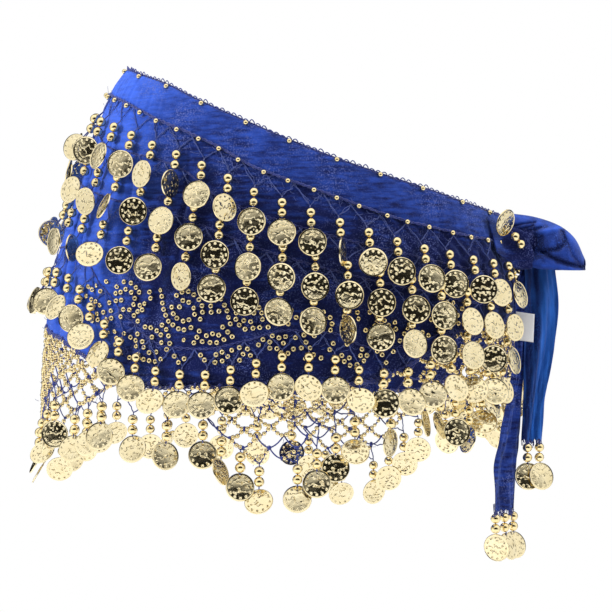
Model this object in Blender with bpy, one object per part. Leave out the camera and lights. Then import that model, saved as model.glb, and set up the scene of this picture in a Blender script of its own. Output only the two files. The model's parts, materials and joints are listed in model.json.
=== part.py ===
"""A belly dance hip scarf, tied at one hip and filled out as if worn.

The cloth is one long wedge with its deepest part over the hip opposite the knot.
Turns are degrees round the hips from that deepest part, the scarf's middle, to the
knot at 180. The front and the back halves mirror each other there. The origin is
the middle of the hips at the level where the scarf is held, +Z is up, the front
faces -Y and the knot is at +X. Lengths are metres.
"""

import bisect
import math
from collections import namedtuple

import bmesh
import bpy
from mathutils import Vector

MIDDLE = 190.0  # where the scarf's middle lies, in degrees round from +X through the front
DEPTH_SHARE = 0.76  # the hips' depth for each unit of their width
CLOTH_END = 172.0  # turn at which the cloth stops beside the knot
BACK_DIP = 0.011  # how much lower the scarf hangs behind than in front
CLOTH_THICK = 0.0010
HEM_THICK = 0.0010
NET_THICK = 0.0012
SEAM = 0.0003  # what separate pieces keep between them
SEAM_TURN = 0.07  # half the seam between the two stretches, as a turn
CLOTH_ROWS = 4
HALF_CELLS = 35  # net half cells from the middle to the cloth's end
CELL_STEP = 0.0090  # half the height of a net cell
STRAND_SHARE = 0.14  # how much of a cell its strands take, each side
NET_SEAM = 0.0004

BEAD = 0.0062
BEAD_DEPTH = 0.0050
BEAD_PITCH = 0.0064
FIRST_BEAD = 0.0043  # below the braid
NECK = 0.0018
COIN = 0.0176
COIN_THICK = 0.0010
BRAID_DROP = 0.0115  # from a row's thread line down to its braid
BRAID_HEIGHT = 0.0014
BRAID_THICK = 0.0015
ROOT = 0.0020  # width of a drop's root in the braid

Section = namedtuple("Section", "height half_width centre")
HIPS = [
    Section(0.062, 0.090, 0.000),
    Section(0.048, 0.099, 0.000),
    Section(0.030, 0.111, 0.001),
    Section(0.012, 0.120, 0.002),
    Section(-0.014, 0.129, 0.003),
    Section(-0.034, 0.135, 0.004),
    Section(-0.060, 0.142, 0.004),
    Section(-0.086, 0.147, 0.003),
    Section(-0.118, 0.150, 0.001),
    Section(-0.164, 0.152, -0.001),
    Section(-0.250, 0.152, -0.002),
]

# Heights in millimetres at each turn: the top edge, the thread lines of the four
# coin rows, the cloth's hem and the net's lower edge.
Station = namedtuple("Station", "turn top row1 row2 row3 row4 hem net")
CUT = [
    Station(0, 49.0, 36.0, 20.0, -18.0, -65.0, -112.0, -184.0),
    Station(12, 48.7, 35.0, 18.0, -20.0, -65.0, -113.5, -183.0),
    Station(26, 47.0, 32.0, 8.0, -26.5, -65.0, -119.0, -181.0),
    Station(40, 43.0, 27.0, -3.0, -32.5, -71.0, -127.0, -167.0),
    Station(52, 38.5, 20.0, -7.0, -37.5, -92.0, -138.0, -163.0),
    Station(62, 33.0, 12.5, -11.0, -42.0, -112.0, -146.0, -163.0),
    Station(72, 25.0, 5.0, -19.0, -47.5, -127.0, -152.0, -166.0),
    Station(82, 16.5, -4.5, -35.0, -56.0, -129.0, -151.0, -188.0),
    Station(92, 7.5, -17.0, -45.0, -66.0, -124.0, -152.5, -206.0),
    Station(102, -2.0, -26.0, -53.0, -74.0, -117.5, -151.0, -197.0),
    Station(112, -11.0, -34.5, -60.0, -81.0, -119.0, -150.0, -181.0),
    Station(122, -19.0, -43.0, -66.0, -87.0, -128.0, -148.0, -167.0),
    Station(132, -26.0, -50.0, -71.0, -92.0, -127.0, -138.0, -163.0),
    Station(142, -32.0, -54.5, -75.5, -96.5, -119.0, -124.0, -163.0),
    Station(154, -38.5, -59.0, -80.0, -101.0, -121.5, -115.0, -157.0),
    Station(CLOTH_END, -45.5, -62.0, -83.0, -104.0, -123.5, -113.0, -148.0),
]

# Soft ridges that run down the cloth: where, how wide in degrees, how far they
# lean in degrees for each metre down, how proud, and between which heights.
Ridge = namedtuple("Ridge", "turn width lean proud high low")
RIDGES = [
    Ridge(8, 5.0, 20.0, 0.0022, 0.020, -0.125),
    Ridge(22, 4.5, 40.0, 0.0030, 0.000, -0.135),
    Ridge(36, 5.0, 90.0, 0.0026, -0.010, -0.140),
    Ridge(58, 7.0, 120.0, 0.0018, 0.010, -0.130),
    Ridge(96, 9.0, -60.0, 0.0014, -0.030, -0.150),
    Ridge(126, 7.0, -160.0, 0.0020, -0.040, -0.140),
    Ridge(146, 5.0, -200.0, 0.0028, -0.050, -0.120),
    Ridge(161, 4.0, -140.0, 0.0032, -0.050, -0.115),
]

# How far the braid, the beads and the coins of a fringe stand outside the surface
# that it hangs on, and how much further every second coin does.
Hang = namedtuple("Hang", "braid beads coins layer")
ON_CLOTH = Hang(0.0016, 0.0047, 0.0088, 0.0022)
ON_NET = Hang(0.0018, 0.0026, 0.0024, 0.0022)

# The coin rows: which thread line, the spacing of the drops and the first and last turn.
Row = namedtuple("Row", "name line spacing start stop")
ROWS = [
    Row("coin_row_1", "row1", 0.0180, 6.8, 168.5),
    Row("coin_row_2", "row2", 0.0200, 6.0, 166.5),
    Row("coin_row_3", "row3", 0.0205, 5.6, 167.0),
    Row("coin_row_4", "row4", 0.0158, 5.2, 157.0),
]
# The net panels of each half, between their first and last half cells.
NET_JOINTS = [15, 27, 35]
NETS = [("net_side", 15, 27), ("net_end", 27, 35)]

Paint = namedtuple("Paint", "red green blue rough metal")
COBALT = Paint(0.018, 0.040, 0.300, 0.85, 0.0)
SATIN = Paint(0.012, 0.070, 0.340, 0.45, 0.0)
THREAD = Paint(0.012, 0.022, 0.180, 0.90, 0.0)
GOLD = Paint(0.900, 0.680, 0.300, 0.22, 1.0)
WHITE = Paint(0.820, 0.820, 0.830, 0.80, 0.0)


def clear_scene():
    for obj in list(bpy.data.objects):
        bpy.data.objects.remove(obj, do_unlink=True)


def material(name, paint):
    made = bpy.data.materials.get(name) or bpy.data.materials.new(name)
    made.use_nodes = True
    shader = made.node_tree.nodes["Principled BSDF"]
    shader.inputs["Base Color"].default_value = (*paint[:3], 1.0)
    shader.inputs["Roughness"].default_value = paint.rough
    shader.inputs["Metallic"].default_value = paint.metal
    return made


def smooth_between(places, values, at):
    """A cubic through the values that never overshoots two neighbours."""
    at = min(max(at, places[0]), places[-1])
    i = min(max(bisect.bisect_right(places, at) - 1, 0), len(places) - 2)
    slopes = [
        (values[k + 1] - values[k]) / (places[k + 1] - places[k])
        for k in range(len(places) - 1)
    ]

    def tangent(k):
        if k in (0, len(places) - 1):
            return slopes[min(k, len(slopes) - 1)]
        before, after = slopes[k - 1], slopes[k]
        return 0.0 if before * after <= 0 else 2 * before * after / (before + after)

    span = places[i + 1] - places[i]
    t = (at - places[i]) / span
    return (
        (2 * t**3 - 3 * t**2 + 1) * values[i]
        + (t**3 - 2 * t**2 + t) * span * tangent(i)
        + (3 * t**2 - 2 * t**3) * values[i + 1]
        + (t**3 - t**2) * span * tangent(i + 1)
    )


def hips_at(height, column):
    rising = HIPS[::-1]
    return smooth_between(
        [s.height for s in rising], [getattr(s, column) for s in rising], height
    )


def level(turn, column):
    """The height of a line of the scarf. A negative turn is the back, a little lower."""
    height = 0.001 * smooth_between(
        [s.turn for s in CUT], [getattr(s, column) for s in CUT], abs(turn)
    )
    if turn < 0:
        height -= BACK_DIP * math.sin(math.radians(-turn)) ** 1.25
    return height


def fold(turn, height):
    """How proud the soft ridges stand at a place on the cloth."""
    total = 0.0
    if turn < 0:
        height += BACK_DIP * math.sin(math.radians(-turn)) ** 1.25
    for ridge in RIDGES:
        centre = ridge.turn + ridge.lean * (height - ridge.high)
        across = (abs(turn) - centre) / ridge.width
        down = (ridge.high - height) / (ridge.high - ridge.low)
        if 0.0 < down < 1.25:
            swell = math.sin(math.pi * min(down / 1.25, 1.0)) ** 2
            total += ridge.proud * swell * math.exp(-(across**2))
    return total


def frame_at(turn, height):
    """The plain hip surface's point, its level outward normal and its level tangent."""
    angle = math.radians(MIDDLE - turn)
    width = hips_at(height, "half_width")
    depth = width * DEPTH_SHARE
    centre = hips_at(height, "centre")
    point = Vector((centre + width * math.cos(angle), -depth * math.sin(angle), height))
    out = Vector((math.cos(angle) / width, -math.sin(angle) / depth, 0.0)).normalized()
    along = Vector((-out.y, out.x, 0.0))
    return point, out, along


def slope_stretch(turn, height):
    """A level offset for each unit of offset square to the flared surface."""
    step = 0.004
    upper, out, _ = frame_at(turn, height + step)
    lower, _, _ = frame_at(turn, height - step)
    run = (upper - lower).dot(out) / (2 * step)
    return math.sqrt(1.0 + run * run)


def on_hips(turn, height, off=0.0):
    """A point of the cloth's inner face, or off outside it. A negative turn is the back."""
    point, out, _ = frame_at(turn, height)
    return point + out * ((fold(turn, height) + off) * slope_stretch(turn, height))


def swell_near(turn, height):
    """The proudest fold within a coin's width."""
    return max(fold(turn + shift, height) for shift in (-4.0, -2.0, 0.0, 2.0, 4.0))


def turn_stations():
    """Turns that cut the hem into equal half cells, from the middle to the cloth's end."""
    fine = [CLOTH_END * k / 600 for k in range(601)]
    reached = [0.0]
    for a, b in zip(fine, fine[1:]):
        step = frame_at(b, level(b, "hem"))[0] - frame_at(a, level(a, "hem"))[0]
        reached.append(reached[-1] + step.xy.length)
    places = []
    for k in range(HALF_CELLS + 1):
        wanted = reached[-1] * k / HALF_CELLS
        i = min(max(bisect.bisect_left(reached, wanted), 1), 600)
        share = (wanted - reached[i - 1]) / (reached[i] - reached[i - 1])
        places.append(fine[i - 1] + share * (fine[i] - fine[i - 1]))
    return places


def turn_at_cell(stations, cell):
    """The turn of a place counted in half cells, which may lie between two stations."""
    size = min(abs(cell), HALF_CELLS)
    i = min(int(size), HALF_CELLS - 1)
    turn = stations[i] + (size - i) * (stations[i + 1] - stations[i])
    return math.copysign(turn, cell)


def make_object(name, points, faces, paint_name, paint, smooth_angle=40.0):
    mesh = bpy.data.meshes.new(name)
    mesh.from_pydata([tuple(p) for p in points], [], faces)
    tidy = bmesh.new()
    tidy.from_mesh(mesh)
    bmesh.ops.recalc_face_normals(tidy, faces=tidy.faces)
    tidy.to_mesh(mesh)
    tidy.free()
    mesh.shade_smooth()
    mesh.set_sharp_from_angle(angle=math.radians(smooth_angle))
    mesh.materials.append(material(paint_name, paint))
    obj = bpy.data.objects.new(name, mesh)
    bpy.context.scene.collection.objects.link(obj)
    return obj


def thicken(obj, thick):
    """Gives a single sheet its thickness, on the side that its faces look to."""
    solid = obj.modifiers.new("cloth thickness", "SOLIDIFY")
    solid.thickness = thick
    solid.offset = 1.0
    solid.use_even_offset = True
    return obj


def face_outwards(obj, inside):
    """Turns a sheet's faces away from a point inside it."""
    mesh = obj.data
    sense = sum((p.center - inside).dot(p.normal) * p.area for p in mesh.polygons)
    if sense < 0:
        mesh.flip_normals()
    return obj


def sheet(name, rows, columns, place, paint_name, paint, thick, inside=None):
    """A grid sheet of cloth, given its thickness outwards."""
    points = [place(i, j) for j in range(rows + 1) for i in range(columns + 1)]
    across = columns + 1
    faces = [
        (j * across + i, j * across + i + 1, (j + 1) * across + i + 1, (j + 1) * across + i)
        for j in range(rows)
        for i in range(columns)
    ]
    obj = make_object(name, points, faces, paint_name, paint)
    face_outwards(obj, inside or Vector((0.0, 0.0, -0.06)))
    return thicken(obj, thick)


def cloth_half(name, side, stations):
    """One half of the main panel, from the middle to beside the knot."""

    def place(i, j):
        turn = side * max(stations[i], SEAM_TURN)
        high, low = level(turn, "top"), level(turn, "hem")
        return on_hips(turn, high + (low - high) * j / CLOTH_ROWS)

    return sheet(name, CLOTH_ROWS, HALF_CELLS, place, "cobalt velvet", COBALT, CLOTH_THICK)


def turned_hem(name, side, stations):
    """The top edge, turned over to the outside down to the first row's thread line."""
    off = CLOTH_THICK + SEAM

    def place(i, j):
        turn = side * max(stations[i], SEAM_TURN)
        return on_hips(turn, level(turn, "top" if j == 0 else "row1"), off)

    return sheet(name, 1, HALF_CELLS, place, "cobalt velvet", COBALT, HEM_THICK)


def net_cells(first, last, stations):
    """Whole cells of a net between two stations, as centres (cell, row). Each row
    hangs from two cells of the row above."""

    def depth_at(cell):
        turn = abs(turn_at_cell(stations, cell))
        return level(turn, "hem") - level(turn, "net")

    kept = {(c, 1) for c in range(first + 1, last, 2)}
    row = 2
    while True:
        found = {
            (c, row)
            for c in range(first + row, last - row + 1, 2)
            if {(c - 1, row - 1), (c + 1, row - 1)} <= kept
            and (row + 0.6) * CELL_STEP < depth_at(c)
        }
        if not found:
            return kept
        kept |= found
        row += 1


def on_net(stations, cell, row, off=0.0):
    """A point of the net, counted in half cells along and rows of half cells down."""
    turn = turn_at_cell(stations, cell)
    height = level(turn, "hem") - NET_SEAM - row * CELL_STEP
    return on_hips(turn, height, off)


def net_panel(name, first, last, stations):
    """A crocheted net of diamond cells with its gaps cut through, under the hem."""
    joint = 0.035
    points, index, faces = [], {}, []

    def corner(cell, row):
        key = (round(cell, 4), round(row, 4))
        if key not in index:
            index[key] = len(points)
            inset = min(max(cell, first + joint), last - joint)
            points.append(on_net(stations, inset, row))
        return index[key]

    for cell, row in sorted(net_cells(first, last, stations)):
        rim = [(cell, row - 1), (cell + 1, row), (cell, row + 1), (cell - 1, row)]
        inner = [
            (cell + (c - cell) * (1 - STRAND_SHARE), row + (r - row) * (1 - STRAND_SHARE))
            for c, r in rim
        ]
        for k in range(4):
            m = (k + 1) % 4
            faces.append(
                (corner(*rim[k]), corner(*rim[m]), corner(*inner[m]), corner(*inner[k]))
            )
    for cell in range(first + 2, last, 2):
        faces.append(
            (corner(cell - 1, 0), corner(cell, 0), corner(cell + 1, 0), corner(cell, 1))
        )
    faces.append((corner(first, 0), corner(first + 1, 0), corner(first, 1)))
    faces.append((corner(last - 1, 0), corner(last, 0), corner(last, 1)))
    obj = make_object(name, points, faces, "crochet thread", THREAD)
    face_outwards(obj, Vector((0.0, 0.0, -0.15)))
    return thicken(obj, NET_THICK)


def net_edge(stations, side):
    """The turns and heights of the net's lower corners, from the middle to the knot,
    where the fringe hangs. The upper corners of a zigzag are left out."""
    middle = net_cells(-NET_JOINTS[0], NET_JOINTS[0], stations)
    cells = set(middle)
    for _, first, last in NETS:
        cells |= net_cells(first, last, stations)

    def lowest(cell):
        tips = [row + 1 for c, row in cells if c == cell]
        sides = [row for c, row in cells if abs(c - cell) == 1]
        return max(tips + sides)

    places = []
    for cell in range(1, HALF_CELLS):
        row = lowest(cell)
        if lowest(cell - 1) > row and lowest(cell + 1) > row:
            continue
        turn = side * turn_at_cell(stations, cell)
        height = level(turn, "hem") - NET_SEAM - row * CELL_STEP
        places.append((turn, height - BRAID_HEIGHT))
    return places


def row_places(row, side):
    """Turns and heights of a row's drops, evenly spaced along its braid."""
    steps = 800
    fine = [row.start + (row.stop - row.start) * k / steps for k in range(steps + 1)]
    reached = [0.0]
    for a, b in zip(fine, fine[1:]):
        step = frame_at(b, level(b, row.line))[0] - frame_at(a, level(a, row.line))[0]
        reached.append(reached[-1] + step.length)
    count = round(reached[-1] / row.spacing)
    places = []
    for k in range(count + 1):
        wanted = reached[-1] * k / count
        i = min(max(bisect.bisect_left(reached, wanted), 1), steps)
        share = (wanted - reached[i - 1]) / (reached[i] - reached[i - 1])
        turn = side * (fine[i - 1] + share * (fine[i] - fine[i - 1]))
        places.append((turn, level(turn, row.line) - BRAID_DROP))
    return places


def drop_rings(hang, coin_out):
    """A drop's rings below its braid: depth, width, thickness and distance out."""
    second = FIRST_BEAD + BEAD_PITCH
    coin_top = second + BEAD / 2
    flat_side = COIN * math.cos(math.radians(30.0))
    return [
        (FIRST_BEAD, BEAD, BEAD_DEPTH, hang.beads),
        (FIRST_BEAD + BEAD_PITCH / 2, NECK, NECK, hang.beads),
        (second, BEAD, BEAD_DEPTH, hang.beads),
        (coin_top, NECK, COIN_THICK, (hang.beads + coin_out) / 2),
        (coin_top + COIN / 4, flat_side, COIN_THICK, coin_out),
        (coin_top + COIN * 3 / 4, flat_side, COIN_THICK, coin_out),
    ]


def add_drop(points, faces, root, place, hang, coin_out):
    """Lofts two beads and a six-sided coin down from the root's four points, which run
    inner left, inner right, outer right, outer left. place gives a point from the
    depth below the braid, the distance along and the distance out. The rings have
    three sides: a flat face outwards and one edge at the back."""
    inner_left, inner_right, outer_right, outer_left = root
    ring = None
    for depth, width, thick, out in drop_rings(hang, coin_out):
        start = len(points)
        points.append(place(depth, -width / 2, out + thick * 0.45))
        points.append(place(depth, width / 2, out + thick * 0.45))
        points.append(place(depth, 0.0, out - thick * 0.55))
        left, right, back = start, start + 1, start + 2
        if ring is None:
            faces.append((outer_left, outer_right, right, left))
            faces.append((inner_left, outer_left, left, back))
            faces.append((outer_right, inner_right, back, right))
            faces.append((inner_right, inner_left, back))
        else:
            for k in range(3):
                m = (k + 1) % 3
                faces.append((ring[k], ring[m], start + m, start + k))
        ring = (left, right, back)
    coin_bottom = FIRST_BEAD + BEAD_PITCH + BEAD / 2 + COIN
    tip = len(points)
    points.append(place(coin_bottom, 0.0, coin_out))
    for k in range(3):
        faces.append((ring[k], ring[(k + 1) % 3], tip))


def fringe(name, drop_frames, hang):
    """A three-sided braid with a drop of two beads and a coin at each of its places.
    drop_frames holds one placing function for each drop, in order."""
    points, faces = [], []
    columns, drops = [], []
    for number, place in enumerate(drop_frames):
        pair = []
        for edge in (-ROOT / 2, ROOT / 2):
            start = len(points)
            points.append(place(-BRAID_HEIGHT, edge, hang.braid + BRAID_THICK / 2))
            points.append(place(0.0, edge, hang.braid))
            points.append(place(0.0, edge, hang.braid + BRAID_THICK))
            pair.append((start, start + 1, start + 2))
        left, right = pair
        coin_out = hang.coins + hang.layer * (number % 2)
        drops.append(((left[1], right[1], right[2], left[2]), place, coin_out))
        columns.append(pair)
    # Each drop's left and right columns follow the braid in whichever sense it runs.
    forward = len(columns) == 1 or _runs_right(points, columns)
    line = [column for pair in columns for column in (pair if forward else pair[::-1])]
    for k in range(len(line) - 1):
        top, inner, outer = line[k]
        next_top, next_inner, next_outer = line[k + 1]
        faces.append((top, next_top, next_inner, inner))
        faces.append((top, next_top, next_outer, outer))
        if k % 2:
            faces.append((inner, next_inner, next_outer, outer))
    faces.append(line[0])
    faces.append(line[-1])
    for root, place, coin_out in drops:
        add_drop(points, faces, root, place, hang, coin_out)
    return make_object(name, points, faces, "gold plate", GOLD, 30.0)


def _runs_right(points, columns):
    """Whether the second drop lies on the right of the first."""
    left, right = (points[column[0]] for column in columns[0])
    return (points[columns[1][0][0]] - left).dot(right - left) > 0


def hung_on_hips(turn, height):
    """A placing function for a drop whose braid lies at this turn and height."""
    _, out, along = frame_at(turn, height)

    def place(depth, shift, off):
        base, _, _ = frame_at(turn, height - depth)
        lift = swell_near(turn, height - depth) + off
        return base + out * (lift * slope_stretch(turn, height - depth)) + along * shift

    return place


def coin_row(row, side, word):
    frames = [hung_on_hips(*place) for place in row_places(row, side)]
    return fringe(f"{row.name}_{word}", frames, ON_CLOTH)


def hem_fringe(stations, side, word):
    frames = [hung_on_hips(*place) for place in net_edge(stations, side)]
    return fringe(f"hem_fringe_{word}", frames, ON_NET)


# The knot and its tails are placed by how far they lie along the hip from the knot's
# middle, towards the front, how far out from the plain surface, and their height.
KNOT_TURN = 180.0
KNOT_HEIGHT = -0.0595
KNOT_OUT = 0.0165
KNOT_SIZE = (0.0105, 0.0125, 0.0125)
TAIL_THICK = 0.0012
TAIL_COLUMNS = 8
TAIL_PLEATS = 1.5

# Each section of a tail runs from its edge at the front to its edge at the back.
TailRing = namedtuple("TailRing", "height front_along front_out back_along back_out pleat")
LONG_TAIL = [
    TailRing(-0.0722, 0.0035, 0.0130, -0.0020, 0.0165, 0.0004),
    TailRing(-0.0950, 0.0110, 0.0100, 0.0010, 0.0145, 0.0014),
    TailRing(-0.1300, 0.0130, 0.0100, 0.0020, 0.0140, 0.0014),
    TailRing(-0.1600, 0.0190, 0.0068, 0.0050, 0.0112, 0.0014),
    TailRing(-0.1850, 0.0300, 0.0025, 0.0055, 0.0100, 0.0018),
    TailRing(-0.2080, 0.0380, -0.0015, 0.0055, 0.0095, 0.0020),
    TailRing(-0.2310, 0.0370, -0.0010, 0.0060, 0.0085, 0.0020),
]
SHORT_TAIL = [
    TailRing(-0.0722, 0.0010, 0.0182, -0.0040, 0.0290, 0.0004),
    TailRing(-0.1000, 0.0035, 0.0185, -0.0060, 0.0350, 0.0014),
    TailRing(-0.1300, 0.0060, 0.0168, -0.0040, 0.0320, 0.0014),
    TailRing(-0.1630, 0.0090, 0.0148, 0.0010, 0.0262, 0.0014),
    TailRing(-0.1870, 0.0125, 0.0138, 0.0050, 0.0250, 0.0018),
]
ON_TAIL = Hang(-0.0007, 0.0004, 0.0012, 0.0022)

TieRing = namedtuple("TieRing", "turn top bottom out thick")
TIE = [
    TieRing(164.5, -0.0460, -0.0685, 0.0027, 0.0011),
    TieRing(168.5, -0.0480, -0.0690, 0.0030, 0.0020),
    TieRing(171.5, -0.0520, -0.0690, 0.0052, 0.0060),
    TieRing(173.4, -0.0550, -0.0680, 0.0105, 0.0095),
]

WingRing = namedtuple("WingRing", "out top bottom half_width")
WING = [
    WingRing(0.0060, -0.0442, -0.0520, 0.0100),
    WingRing(0.0160, -0.0455, -0.0560, 0.0135),
    WingRing(0.0255, -0.0478, -0.0660, 0.0155),
    WingRing(0.0370, -0.0525, -0.0770, 0.0145),
    WingRing(0.0460, -0.0602, -0.0800, 0.0115),
    WingRing(0.0525, -0.0735, -0.0802, 0.0060),
]
WING_STEPS = 8


def by_knot(along_distance, out_distance, height):
    """A point beside the knot. Along runs to the front, out runs away from the hip."""
    base, out, along = frame_at(KNOT_TURN, KNOT_HEIGHT)
    return Vector((base.x, base.y, height)) - along * along_distance + out * out_distance


def knot():
    """The half knot: a tight ball of cloth with the creases of its wraps."""
    rings, around = 8, 14
    wraps, crease = 3.0, 0.09

    def place(lift, turn):
        rise, swing = math.sin(lift), math.cos(lift)
        bulge = 1.0 + crease * math.cos(wraps * turn + 2.2 * lift) * swing
        return by_knot(
            KNOT_SIZE[0] * swing * math.cos(turn) * bulge,
            KNOT_OUT + KNOT_SIZE[1] * swing * math.sin(turn) * bulge,
            KNOT_HEIGHT + KNOT_SIZE[2] * rise,
        )

    points = [place(-math.pi / 2, 0.0), place(math.pi / 2, 0.0)]
    faces = []
    for j in range(1, rings):
        lift = math.pi * (j / rings - 0.5)
        points += [place(lift, 2 * math.pi * i / around) for i in range(around)]
    for i in range(around):
        m = (i + 1) % around
        faces.append((0, 2 + m, 2 + i))
        top = 2 + (rings - 2) * around
        faces.append((1, top + i, top + m))
        for j in range(rings - 2):
            a, b = 2 + j * around, 2 + (j + 1) * around
            faces.append((a + i, a + m, b + m, b + i))
    return make_object("knot", points, faces, "cobalt velvet", COBALT, 60.0)


def tie(name, side):
    """The strap that runs from the top of the cloth's end into the knot."""
    points, faces = [], []
    for turn, high, low, off, thick in TIE:
        middle = (high + low) / 2
        for height, share in (
            (high, 0.15),
            (middle, 0.0),
            (low, 0.15),
            (low, 0.85),
            (middle, 1.0),
            (high, 0.85),
        ):
            base, out, _ = frame_at(side * turn, height)
            lift = (off + share * thick) * slope_stretch(side * turn, height)
            points.append(base + out * (lift + swell_near(turn, height)))
    count = 6
    for s in range(len(TIE) - 1):
        for k in range(count):
            m = (k + 1) % count
            a, b = s * count, (s + 1) * count
            faces.append((a + k, a + m, b + m, b + k))
    faces.append(tuple(range(count)))
    faces.append(tuple(range((len(TIE) - 1) * count, len(TIE) * count)))
    return make_object(name, points, faces, "cobalt velvet", COBALT)


def across_tail(ring, share, off=0.0):
    """Along and out for a place across a tail's section, or off in front of it."""
    along = ring.front_along + (ring.back_along - ring.front_along) * share
    out = ring.front_out + (ring.back_out - ring.front_out) * share
    run_along = ring.back_along - ring.front_along
    run_out = ring.back_out - ring.front_out
    length = math.hypot(run_along, run_out)
    return along + off * run_out / length, out - off * run_along / length


def on_tail(rings, share, j, off=0.0):
    """A point of a tail's section j, or off in front of it."""
    pleat = rings[j].pleat * math.cos(2 * math.pi * TAIL_PLEATS * (share + 0.12 * j))
    return by_knot(*across_tail(rings[j], share, pleat + off), rings[j].height)


def tail(name, rings, paint_name, paint):
    """A tie end that hangs from the knot, pleated lengthways."""

    def place(i, j):
        return on_tail(rings, i / TAIL_COLUMNS, j)

    inside = by_knot(-0.08, 0.0, rings[0].height)
    return sheet(name, len(rings) - 1, TAIL_COLUMNS, place, paint_name, paint, TAIL_THICK, inside)


def tail_fringe(name, ring, shares):
    """The braid under a tail's end with its drops."""
    top = ring.height - SEAM - BRAID_HEIGHT
    front = Vector(across_tail(ring, 0.0))
    across = (Vector(across_tail(ring, 1.0)) - front).normalized()

    def hung(share):
        def place(depth, shift, off):
            along, out = Vector(across_tail(ring, share, off)) + across * shift
            return by_knot(along, out, top - depth)

        return place

    return fringe(name, [hung(share) for share in shares], ON_TAIL)


def knot_coin():
    """The drop that has flipped up beside the knot and lies over the tie."""
    rise, inwards, forwards = 0.74, 0.50, 0.45
    start = Vector((0.0181, 0.0165, -0.0668))  # along, out and height
    run = Vector((forwards, -inwards, rise)).normalized()
    face = Vector((0.66, 0.75, 0.0))
    face = (face - run * face.dot(run)).normalized()
    width = run.cross(face)

    def place(depth, shift, off):
        return by_knot(*(start + run * depth + width * shift + face * off))

    return fringe("knot_coin", [place], ON_TAIL)


def wing():
    """The puffed fold of the tie end that stands over the knot and droops outwards."""

    def place(i, j):
        ring = WING[j]
        angle = math.pi * (i / WING_STEPS - 0.5)
        rise = max(math.cos(angle), 0.0) ** 0.75
        height = ring.bottom + (ring.top - ring.bottom) * rise
        return by_knot(ring.half_width * math.sin(angle), ring.out, height)

    inside = by_knot(0.0, 0.018, KNOT_HEIGHT)
    columns = WING_STEPS
    return sheet("knot_wing", len(WING) - 1, columns, place, "satin tie", SATIN, TAIL_THICK, inside)


def care_label():
    """The bare white label sewn along the front edge of the long tail."""
    width, length, thick = 0.0120, 0.0180, 0.0005
    from_ring, down_to_next, tilt = 1, 0.32, math.radians(8.0)
    upper = on_tail(LONG_TAIL, 0.0, from_ring, SEAM)
    lower = on_tail(LONG_TAIL, 0.0, from_ring + 1, SEAM)
    down = (lower - upper).normalized()
    seam = upper.lerp(lower, down_to_next)
    _, out, along = frame_at(KNOT_TURN, KNOT_HEIGHT)
    across = out * math.cos(tilt) - Vector((0.0, 0.0, math.sin(tilt)))
    corners = []
    for depth in (SEAM, SEAM + thick):
        for side, drop in ((0, 0), (1, 0), (1, 1), (0, 1)):
            corners.append(seam + across * width * side + down * length * drop - along * depth)
    faces = [(0, 1, 2, 3), (4, 5, 6, 7), (0, 1, 5, 4), (1, 2, 6, 5), (2, 3, 7, 6), (3, 0, 4, 7)]
    return make_object("care_label", corners, faces, "white label", WHITE)


def build():
    clear_scene()
    stations = turn_stations()
    for side, word in ((1, "front"), (-1, "back")):
        cloth_half(f"cloth_{word}", side, stations)
        turned_hem(f"turned_hem_{word}", side, stations)
        for name, first, last in NETS:
            ends = sorted((side * first, side * last))
            net_panel(f"{name}_{word}", *ends, stations)
        for row in ROWS:
            coin_row(row, side, word)
        hem_fringe(stations, side, word)
        tie(f"tie_{word}", side)
    net_panel("net_middle", -NET_JOINTS[0], NET_JOINTS[0], stations)
    knot()
    wing()
    tail("tail_long", LONG_TAIL, "cobalt velvet", COBALT)
    tail("tail_short", SHORT_TAIL, "satin tie", SATIN)
    tail_fringe("tail_long_fringe", LONG_TAIL[-1], (0.12, 0.52, 0.90))
    tail_fringe("tail_short_fringe", SHORT_TAIL[-1], (0.30, 0.92))
    knot_coin()
    care_label()


build()
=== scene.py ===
# %% [markdown]
# # A belly dance hip scarf
# The scarf is one long wedge of thin blue velvet, knotted at one hip. Rows of crochet
# thread carry drops of two gold beads and a stamped coin, and a beaded net hangs under
# the hem. Its solids already exist, in metres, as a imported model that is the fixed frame.
# Here each plain solid gets a finer piece that stands where the solid stands.

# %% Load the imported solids
import json
import math
from collections import namedtuple

import bpy
import numpy as np
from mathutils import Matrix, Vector

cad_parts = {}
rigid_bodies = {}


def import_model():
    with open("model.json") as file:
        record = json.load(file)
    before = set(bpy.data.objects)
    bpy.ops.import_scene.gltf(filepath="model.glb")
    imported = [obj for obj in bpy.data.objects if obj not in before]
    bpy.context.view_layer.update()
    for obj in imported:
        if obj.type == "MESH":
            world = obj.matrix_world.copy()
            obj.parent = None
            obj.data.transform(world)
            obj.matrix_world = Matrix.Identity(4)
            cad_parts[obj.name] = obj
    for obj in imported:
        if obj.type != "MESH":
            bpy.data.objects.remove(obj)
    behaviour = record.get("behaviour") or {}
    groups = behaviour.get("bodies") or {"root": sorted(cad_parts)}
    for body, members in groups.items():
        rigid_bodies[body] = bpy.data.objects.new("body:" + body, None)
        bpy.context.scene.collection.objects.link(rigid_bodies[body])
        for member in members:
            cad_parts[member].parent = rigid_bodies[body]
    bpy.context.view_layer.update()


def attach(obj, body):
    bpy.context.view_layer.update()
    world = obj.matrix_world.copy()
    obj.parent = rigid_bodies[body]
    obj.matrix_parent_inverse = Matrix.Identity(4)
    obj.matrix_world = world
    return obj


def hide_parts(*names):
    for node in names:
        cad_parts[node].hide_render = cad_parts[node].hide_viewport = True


for leftover in list(bpy.data.objects):
    bpy.data.objects.remove(leftover, do_unlink=True)
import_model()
rng = np.random.default_rng(11)

# %% [markdown]
# ## The light, the camera and the floor
# Polished gold shows the room more than itself. A studio with bright walls at the sides
# and overhead, and a dark end in front and behind, gives every bead its bright flanks and
# dark spot, and leaves the flat coins dark with bright relief. The room is a world gradient
# by direction. What the camera sees directly is plain white instead.

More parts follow.
